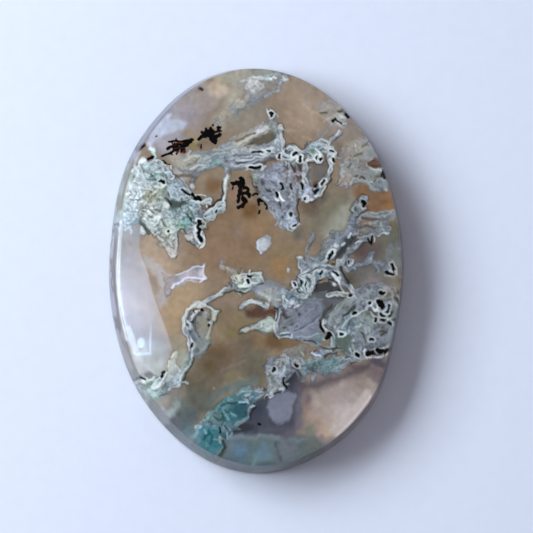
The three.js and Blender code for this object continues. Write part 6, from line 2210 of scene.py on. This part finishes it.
def grow_dendrites():
    """The dark dendrites, with their spikes and brown streaks"""
    canvas = Canvas(DARK)
    chance = random.Random("dark dendrites")
    lines = []
    for width, points in DENDRITES.values():
        route = routed(points, DENDRITE_GAP)
        lines += [(width * DENDRITE_WIDTH_SHARE, route), *spikes(chance, route)]
    for collar in DENDRITE_COLLARS:
        for width, route in lines:
            canvas.pore(width, route, collar, DENDRITE)
    for patch in DENDRITE_STREAKS:
        canvas.mark(patch, 0.0, STREAK_STRENGTH)
    return canvas.mesh("dark_dendrites")


# Materials


def new_material(name):
    material = bpy.data.materials.new(name)
    material.use_nodes = True
    nodes = material.node_tree.nodes
    return material, nodes, material.node_tree.links, nodes["Principled BSDF"]


# Sizes and strengths in the materials: noise scales per metre, bump distances in metres

SKIN_ROUGHNESS = 0.02
SKIN_WAVES = 160
SKIN_BUMP = 0.00006
ABSORPTION_COLOUR = (0.94, 0.87, 0.76, 1)
ABSORPTION_DENSITY = 60
NOISE_SPAN = (0.3, 0.7)  # most of a noise texture lies between these
CLOUD_SCALE = 320
INNER_ROUGHNESS = 0.6
FLOOR_GRAIN_SCALE = 900
FLOOR_GRAIN = (0.99, 1.01)
FLOOR_ROUGHNESS = 0.9

# A painted material: how much broad clouds and fine grain change its colours, the grain's scale and
# its bump
Painted = namedtuple("Painted", "broad fine scale bump")
GROUND_LOOK = Painted((0.93, 1.08), (0.92, 1.09), 2600, 0.00001)
MOSS_LOOK = Painted((0.97, 1.03), (0.90, 1.09), 4200, 0.00003)


def noise_node(nodes, links, scale, detail):
    """Noise in the stone's own space, scale per metre"""
    coordinates = nodes.new("ShaderNodeTexCoord")
    texture = nodes.new("ShaderNodeTexNoise")
    texture.inputs["Scale"].default_value = scale
    texture.inputs["Detail"].default_value = detail
    links.new(coordinates.outputs["Object"], texture.inputs["Vector"])
    return texture


def ranged(nodes, links, source, low, high, span=NOISE_SPAN):
    """The source, moved from its span to the span from low to high"""
    node = nodes.new("ShaderNodeMapRange")
    node.inputs["From Min"].default_value = span[0]
    node.inputs["From Max"].default_value = span[1]
    node.inputs["To Min"].default_value = low
    node.inputs["To Max"].default_value = high
    links.new(source, node.inputs["Value"])
    return node.outputs["Result"]


def multiplied(nodes, links, colour, factor):
    node = nodes.new("ShaderNodeVectorMath")
    node.operation = "SCALE"
    links.new(colour, node.inputs[0])
    links.new(factor, node.inputs["Scale"])
    return node.outputs["Vector"]


def bumped(nodes, links, shader, height, distance):
    bump = nodes.new("ShaderNodeBump")
    bump.inputs["Distance"].default_value = distance
    links.new(height, bump.inputs["Height"])
    links.new(bump.outputs["Normal"], shader.inputs["Normal"])


def stone_material():
    material, nodes, links, shader = new_material("clear_chalcedony")
    shader.inputs["Base Color"].default_value = (1, 1, 1, 1)
    shader.inputs["Transmission Weight"].default_value = 1.0
    shader.inputs["IOR"].default_value = STONE_IOR
    shader.inputs["Roughness"].default_value = SKIN_ROUGHNESS
    waves = noise_node(nodes, links, SKIN_WAVES, detail=1)
    bumped(nodes, links, shader, waves.outputs["Fac"], SKIN_BUMP)
    absorption = nodes.new("ShaderNodeVolumeAbsorption")
    absorption.inputs["Color"].default_value = ABSORPTION_COLOUR
    absorption.inputs["Density"].default_value = ABSORPTION_DENSITY
    links.new(absorption.outputs["Volume"], nodes["Material Output"].inputs["Volume"])
    return material


def tinted_material(name, look):
    """Colours painted on the mesh, with broad clouds and fine grain"""
    material, nodes, links, shader = new_material(name)
    tint = nodes.new("ShaderNodeAttribute")
    tint.attribute_name = "tint"
    cloud = noise_node(nodes, links, CLOUD_SCALE, detail=4)
    grain = noise_node(nodes, links, look.scale, detail=3)
    broad = ranged(nodes, links, cloud.outputs["Fac"], *look.broad)
    fine = ranged(nodes, links, grain.outputs["Fac"], *look.fine)
    colour = multiplied(nodes, links, tint.outputs["Color"], broad)
    colour = multiplied(nodes, links, colour, fine)
    links.new(colour, shader.inputs["Base Color"])
    shader.inputs["Roughness"].default_value = INNER_ROUGHNESS
    shader.inputs["Specular IOR Level"].default_value = 0.0
    bumped(nodes, links, shader, grain.outputs["Fac"], look.bump)
    return material


def floor_material():
    material, nodes, links, shader = new_material("pale_floor")
    grain = noise_node(nodes, links, FLOOR_GRAIN_SCALE, detail=2)
    fine = ranged(nodes, links, grain.outputs["Fac"], *FLOOR_GRAIN)
    base = nodes.new("ShaderNodeRGB")
    base.outputs["Color"].default_value = (*FLOOR_COLOUR, 1)
    path = nodes.new("ShaderNodeLightPath")
    mirrored = ranged(nodes, links, path.outputs["Is Glossy Ray"], 1.0, FLOOR_MIRRORED, (0, 1))
    colour = multiplied(nodes, links, base.outputs["Color"], fine)
    links.new(multiplied(nodes, links, colour, mirrored), shader.inputs["Base Color"])
    shader.inputs["Roughness"].default_value = FLOOR_ROUGHNESS
    shader.inputs["Specular IOR Level"].default_value = 0.0
    return material


# The stone


# Where the ground's form and colours change: shares of the dome and heights in millimetres
SIDE_SHARE = (0.99, 1.0)
RIM_SHARE = (0.9, 0.94)
GROWN_SHARE = (0.86, 0.91)
SWELL_SHARE = (0.9, 0.8)
SWELL_HEIGHT = (1.5, 2.3)
# This dimming is the side's painted shade
SHOULDER_FADE = (0.25, -0.05)  # the side is dimmed below these heights over the shoulder's foot
BACK_HEIGHT = (0.5, 0.1)
BACK_SHARE = (1.02, 0.96)
RIM_GAP = 3.0  # degrees or pixels between the points of a patch on the rim
OUTSIDE_PENALTY = 10  # cover lost for each pixel outside a canvas

# Noise in the ground, in layers of strength, size and seed
SWELL = [(0.03, 5, 51), (0.015, 2.2, 52)]
GROUND_CLOUDS = [(0.05, 16, 53), (0.06, 6, 54)]
BACK_WISPS = [(0.25, 3.2, 55), (0.2, 1.1, 56)]


def build_stone():
    skin = make_mesh("cabochon_stone", *turned_skin(stone_levels(), SKIN_FINENESS.round))
    skin.data.materials.append(stone_material())
    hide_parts("cabochon")
    return skin


def grown_colours(canvases, pixels):
    """Colours that the canvases show at pixels, where more has grown if two do"""
    colours = np.zeros((len(pixels), 3))
    cover = np.full(len(pixels), -np.inf)
    for canvas in canvases:
        cells = np.rint((pixels - canvas.pixels[0, 0]) / canvas.region.step).astype(int)
        rows = np.clip(cells[:, 1], 0, canvas.cover.shape[0] - 1)
        columns = np.clip(cells[:, 0], 0, canvas.cover.shape[1] - 1)
        outside = np.maximum(abs(rows - cells[:, 1]), abs(columns - cells[:, 0])) * canvas.region.step
        found = canvas.cover[rows, columns] - OUTSIDE_PENALTY * outside
        better = found > cover
        colours[better] = canvas.colours[rows, columns][better]
        cover = np.maximum(cover, found)
    return colours


def side_drift(points, inward):
    """How far the side's colours wander, which grows downwards, so that they aren't stripes"""
    down = np.clip((SHOULDER_HEIGHT - points[:, 2]) / SHOULDER_HEIGHT, 0, 1)
    round_side = SIDE_PIXELS_PER_DEGREE * turn_at(points)
    unrolled = np.stack([round_side, SIDE_PIXELS_PER_MM * points[:, 2]], axis=-1)
    along = np.stack([-inward[:, 1], inward[:, 0]], axis=-1)
    wander = SIDE_DRIFT * layered(unrolled, SIDE_WANDER)
    deeper = SIDE_DEEPENING * (0.5 + layered(unrolled, SIDE_DEPTHS))
    return down[:, None] * (wander[:, None] * along + deeper[:, None] * inward)


def ground_pixels(points, side):
    """Pixels whose colours the ground's points take: where they show, and for the side from the rim"""
    pixels = mixed(seen_at(points), projected(points), side)
    outline, inward = rim_frame(turn_at(points))
    inset = np.sum((pixels - outline) * inward, axis=1)
    pixels += inward * np.maximum(SIDE_INSET - inset, 0)[:, None]
    return pixels + side_drift(points, inward) * side[:, None]


def ground_top(canvases, pixels, share):
    """Colours of the ground, with what grows beside it and the patches on the rim"""
    ground = painted(pixels, GROUND_BASE, GROUND_PATCHES)
    colours = mixed(ground, grown_colours(canvases, pixels), between(share, *GROWN_SHARE))
    on_rim = between(share, *RIM_SHARE)
    for patch in RIM_PATCHES:
        steps = routed(patch.points, RIM_GAP)
        patch = patch._replace(points=at_rim(steps[:, 0], steps[:, 1]))
        colours = mixed(colours, linear(patch.colour), on_rim * patch_share(pixels, patch))
    return colours * (1 + layered(pixels, GROUND_CLOUDS))[:, None]


def side_light(points, height, side):
    """How bright the side is, by degrees round the stone: painted shade"""
    degrees, shares = zip(*SIDE_SHARES)
    start, end = SHOULDER_FADE
    outward = between(height, SHOULDER_HEIGHT + start, SHOULDER_HEIGHT + end) * side
    return 1 + (np.interp(turn_at(points), degrees, shares) - 1) * outward


def build_ground(canvases):
    points, quads, triangles = turned_skin(ground_levels(), GROUND_FINENESS.round)
    share = dome_share(points)
    height = points[:, 2].copy()
    swell = layered(points[:, :2], SWELL)
    points[:, 2] += swell * between(share, *SWELL_SHARE) * between(height, *SWELL_HEIGHT)
    side = between(share, *SIDE_SHARE)
    colours = ground_top(canvases, ground_pixels(points, side), share)
    colours *= side_light(points, height, side)[:, None]
    back = linear(BACK_COLOUR) * (1 + layered(points[:, :2], BACK_WISPS))[:, None]
    colours = mixed(colours, back, between(height, *BACK_HEIGHT) * between(share, *BACK_SHARE))
    piece = make_mesh("milky_ground", points, quads, triangles)
    add_tint(piece, colours)
    piece.data.materials.append(tinted_material("milky_chalcedony", GROUND_LOOK))
    return piece


def build_inside():
    moss = tinted_material("moss", MOSS_LOOK)
    upper = grow_moss(UPPER, in_upper)
    lower = grow_moss(LOWER, lambda points: not in_upper(points))
    pieces = [upper.mesh("moss_upper"), lower.mesh("moss_lower"), grow_dendrites()]
    for piece in pieces:
        piece.data.materials.append(moss)
    return [build_ground([upper, lower]), *pieces]


# The floor, the light and the camera


def build_floor():
    corners = FLOOR_HALF * np.array([[-1, -1, 0], [1, -1, 0], [1, 1, 0], [-1, 1, 0]])
    floor = make_mesh("floor", corners, np.array([[0, 1, 2, 3]]))
    floor.data.materials.append(floor_material())


def build_light():
    """The window: a panel that faces the stone"""
    light = bpy.data.lights.new("window_light", "AREA")
    light.shape = "RECTANGLE"
    light.size = LIGHT_SIZE[0] * MM
    light.size_y = LIGHT_SIZE[1] * MM
    light.energy = LIGHT_RADIANCE * math.pi * light.size * light.size_y
    light.color = LIGHT_COLOUR
    window = bpy.data.objects.new("window_light", light)
    bpy.context.scene.collection.objects.link(window)
    back = unit(np.array(LIGHT_FROM))
    along = unit(np.cross([0, 0, 1], back))
    turn = Matrix([along, np.cross(back, along), back]).transposed()
    window.matrix_world = Matrix.Translation(Vector(back * LIGHT_DISTANCE * MM)) @ turn.to_4x4()
    window.visible_camera = False
    window.visible_glossy = False
    window.visible_transmission = False


class Sums:
    """Arithmetic nodes of one node tree"""

    def __init__(self, tree):
        self.nodes = tree.nodes
        self.links = tree.links

    def join(self, value, socket):
        if isinstance(value, (int, float)):
            socket.default_value = value
        else:
            self.links.new(value, socket)

    def find(self, operation, *values):
        node = self.nodes.new("ShaderNodeMath")
        node.operation = operation
        for value, socket in zip(values, node.inputs):
            self.join(value, socket)
        return node.outputs["Value"]

    def eased(self, value, start, end):
        """0 before start, 1 past end and smooth between"""
        node = self.nodes.new("ShaderNodeMapRange")
        node.interpolation_type = "SMOOTHSTEP"
        node.inputs["From Min"].default_value = min(start, end)
        node.inputs["From Max"].default_value = max(start, end)
        node.inputs["To Min"].default_value = 0.0 if start < end else 1.0
        node.inputs["To Max"].default_value = 1.0 if start < end else 0.0
        self.links.new(value, node.inputs["Value"])
        return node.outputs["Result"]

    def background(self, colour, strength):
        node = self.nodes.new("ShaderNodeBackground")
        node.inputs["Color"].default_value = (*colour, 1)
        self.join(strength, node.inputs["Strength"])
        return node.outputs["Background"]


def mirrored_window(sums, direction):
    """Strength of the window that shows mirrored in the dome"""
    parts = sums.nodes.new("ShaderNodeSeparateXYZ")
    sums.links.new(direction, parts.inputs["Vector"])
    height = sums.find("MAXIMUM", parts.outputs["Z"], LOWEST_HEIGHT)
    across = sums.find("DIVIDE", parts.outputs["X"], height)
    along = sums.find("DIVIDE", parts.outputs["Y"], height)
    edge = sums.find("MULTIPLY_ADD", along, MIRROR_SLANT, MIRROR_EDGE)
    corner = sums.find("MULTIPLY_ADD", along, MIRROR_CORNER_SLANT, MIRROR_CORNER)
    within = sums.find("SUBTRACT", edge, across)
    nearest = sums.find("MINIMUM", within, sums.find("SUBTRACT", corner, across))
    growth = sums.find("MULTIPLY", within, sums.eased(along, *MIRROR_FULL))
    bright = sums.find("MULTIPLY_ADD", growth, MIRROR_GROWTH, MIRROR_STRENGTH)
    bright = sums.find("MINIMUM", bright, MIRROR_MOST)
    share = sums.find("MULTIPLY", sums.eased(nearest, *MIRROR_SOFT), sums.eased(along, *MIRROR_LOW))
    share = sums.find("MULTIPLY", share, sums.eased(along, *MIRROR_HIGH))
    return sums.find("ADD", sums.find("MULTIPLY", bright, share), mirrored_curtain(sums, across, along))


def mirrored_curtain(sums, across, along):
    """Extra strength of a bright curtain in the window, with a bright hem on two sides"""
    from_side = sums.find("SUBTRACT", FOLD_SIDE, across)
    inward = sums.find("MINIMUM", from_side, sums.find("SUBTRACT", along, FOLD_LOW))
    hem = sums.find("MULTIPLY", sums.eased(inward, *FOLD_HEM), FOLD_LINE)
    away = 0.0
    for value, middle, size in zip((across, along), FOLD_MIDDLE, FOLD_MIDDLE_SIZE):
        off = sums.find("DIVIDE", sums.find("SUBTRACT", value, middle), size)
        away = sums.find("MULTIPLY_ADD", off, off, away)
    bright = sums.find("MULTIPLY_ADD", sums.eased(away, *FOLD_MIDDLE_FADE), FOLD_BRIGHT, hem)
    bright = sums.find("ADD", bright, FOLD_STRENGTH)
    share = sums.find("MULTIPLY", sums.eased(inward, *FOLD_SOFT), sums.eased(across, *FOLD_LEFT))
    share = sums.find("MULTIPLY", share, sums.eased(along, *FOLD_HIGH))
    return sums.find("MULTIPLY", bright, share)


def build_world():
    """Dim room light, the window for mirrored light, and the soft light inside the stone"""
    world = bpy.data.worlds.new("room")
    bpy.context.scene.world = world
    world.use_nodes = True
    sums = Sums(world.node_tree)
    direction = sums.nodes.new("ShaderNodeTexCoord").outputs["Generated"]
    room = sums.background(ROOM_COLOUR, ROOM_STRENGTH)
    add = sums.nodes.new("ShaderNodeAddShader")
    sums.links.new(sums.background(ROOM_COLOUR, MIRRORED_ROOM_STRENGTH), add.inputs[0])
    sums.links.new(sums.background(MIRROR_COLOUR, mirrored_window(sums, direction)), add.inputs[1])
    toward = sums.nodes.new("ShaderNodeVectorMath")
    toward.operation = "DOT_PRODUCT"
    toward.inputs[1].default_value = unit(np.array(INNER_SIDE))
    sums.links.new(direction, toward.inputs[0])
    turned = toward.outputs["Value"]
    strength = ranged(sums.nodes, sums.links, turned, INNER_DIM, INNER_BRIGHT, INNER_RANGE)
    inner = sums.background(INNER_COLOUR, strength)
    path = sums.nodes.new("ShaderNodeLightPath")
    seen = room
    for ray, background in (("Is Glossy Ray", add.outputs["Shader"]), ("Is Transmission Ray", inner)):
        mix = sums.nodes.new("ShaderNodeMixShader")
        sums.links.new(path.outputs[ray], mix.inputs["Fac"])
        sums.links.new(seen, mix.inputs[1])
        sums.links.new(background, mix.inputs[2])
        seen = mix.outputs["Shader"]
    sums.links.new(seen, sums.nodes["World Output"].inputs["Surface"])


def build_camera():
    data = bpy.data.cameras.new("camera")
    data.sensor_fit = "HORIZONTAL"
    data.angle = 2 * math.atan(PICTURE_SIZE / 2 * PIXEL_SLOPE)
    data.clip_start, data.clip_end = CLIP_RANGE
    camera = bpy.data.objects.new("camera", data)
    bpy.context.scene.collection.objects.link(camera)
    turn = Matrix([RIGHT, UP, BACKWARD]).transposed()
    camera.matrix_world = Matrix.Translation(Vector(CAMERA_PLACE * MM)) @ turn.to_4x4()
    bpy.context.scene.camera = camera


def set_view():
    scene = bpy.context.scene
    scene.view_settings.view_transform = "Standard"
    scene.view_settings.look = "None"
    scene.cycles.diffuse_bounces = DIFFUSE_BOUNCES


stone = build_stone()
for piece in [stone, *build_inside()]:
    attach(piece, "root")
build_floor()
build_light()
build_world()
build_camera()
set_view()
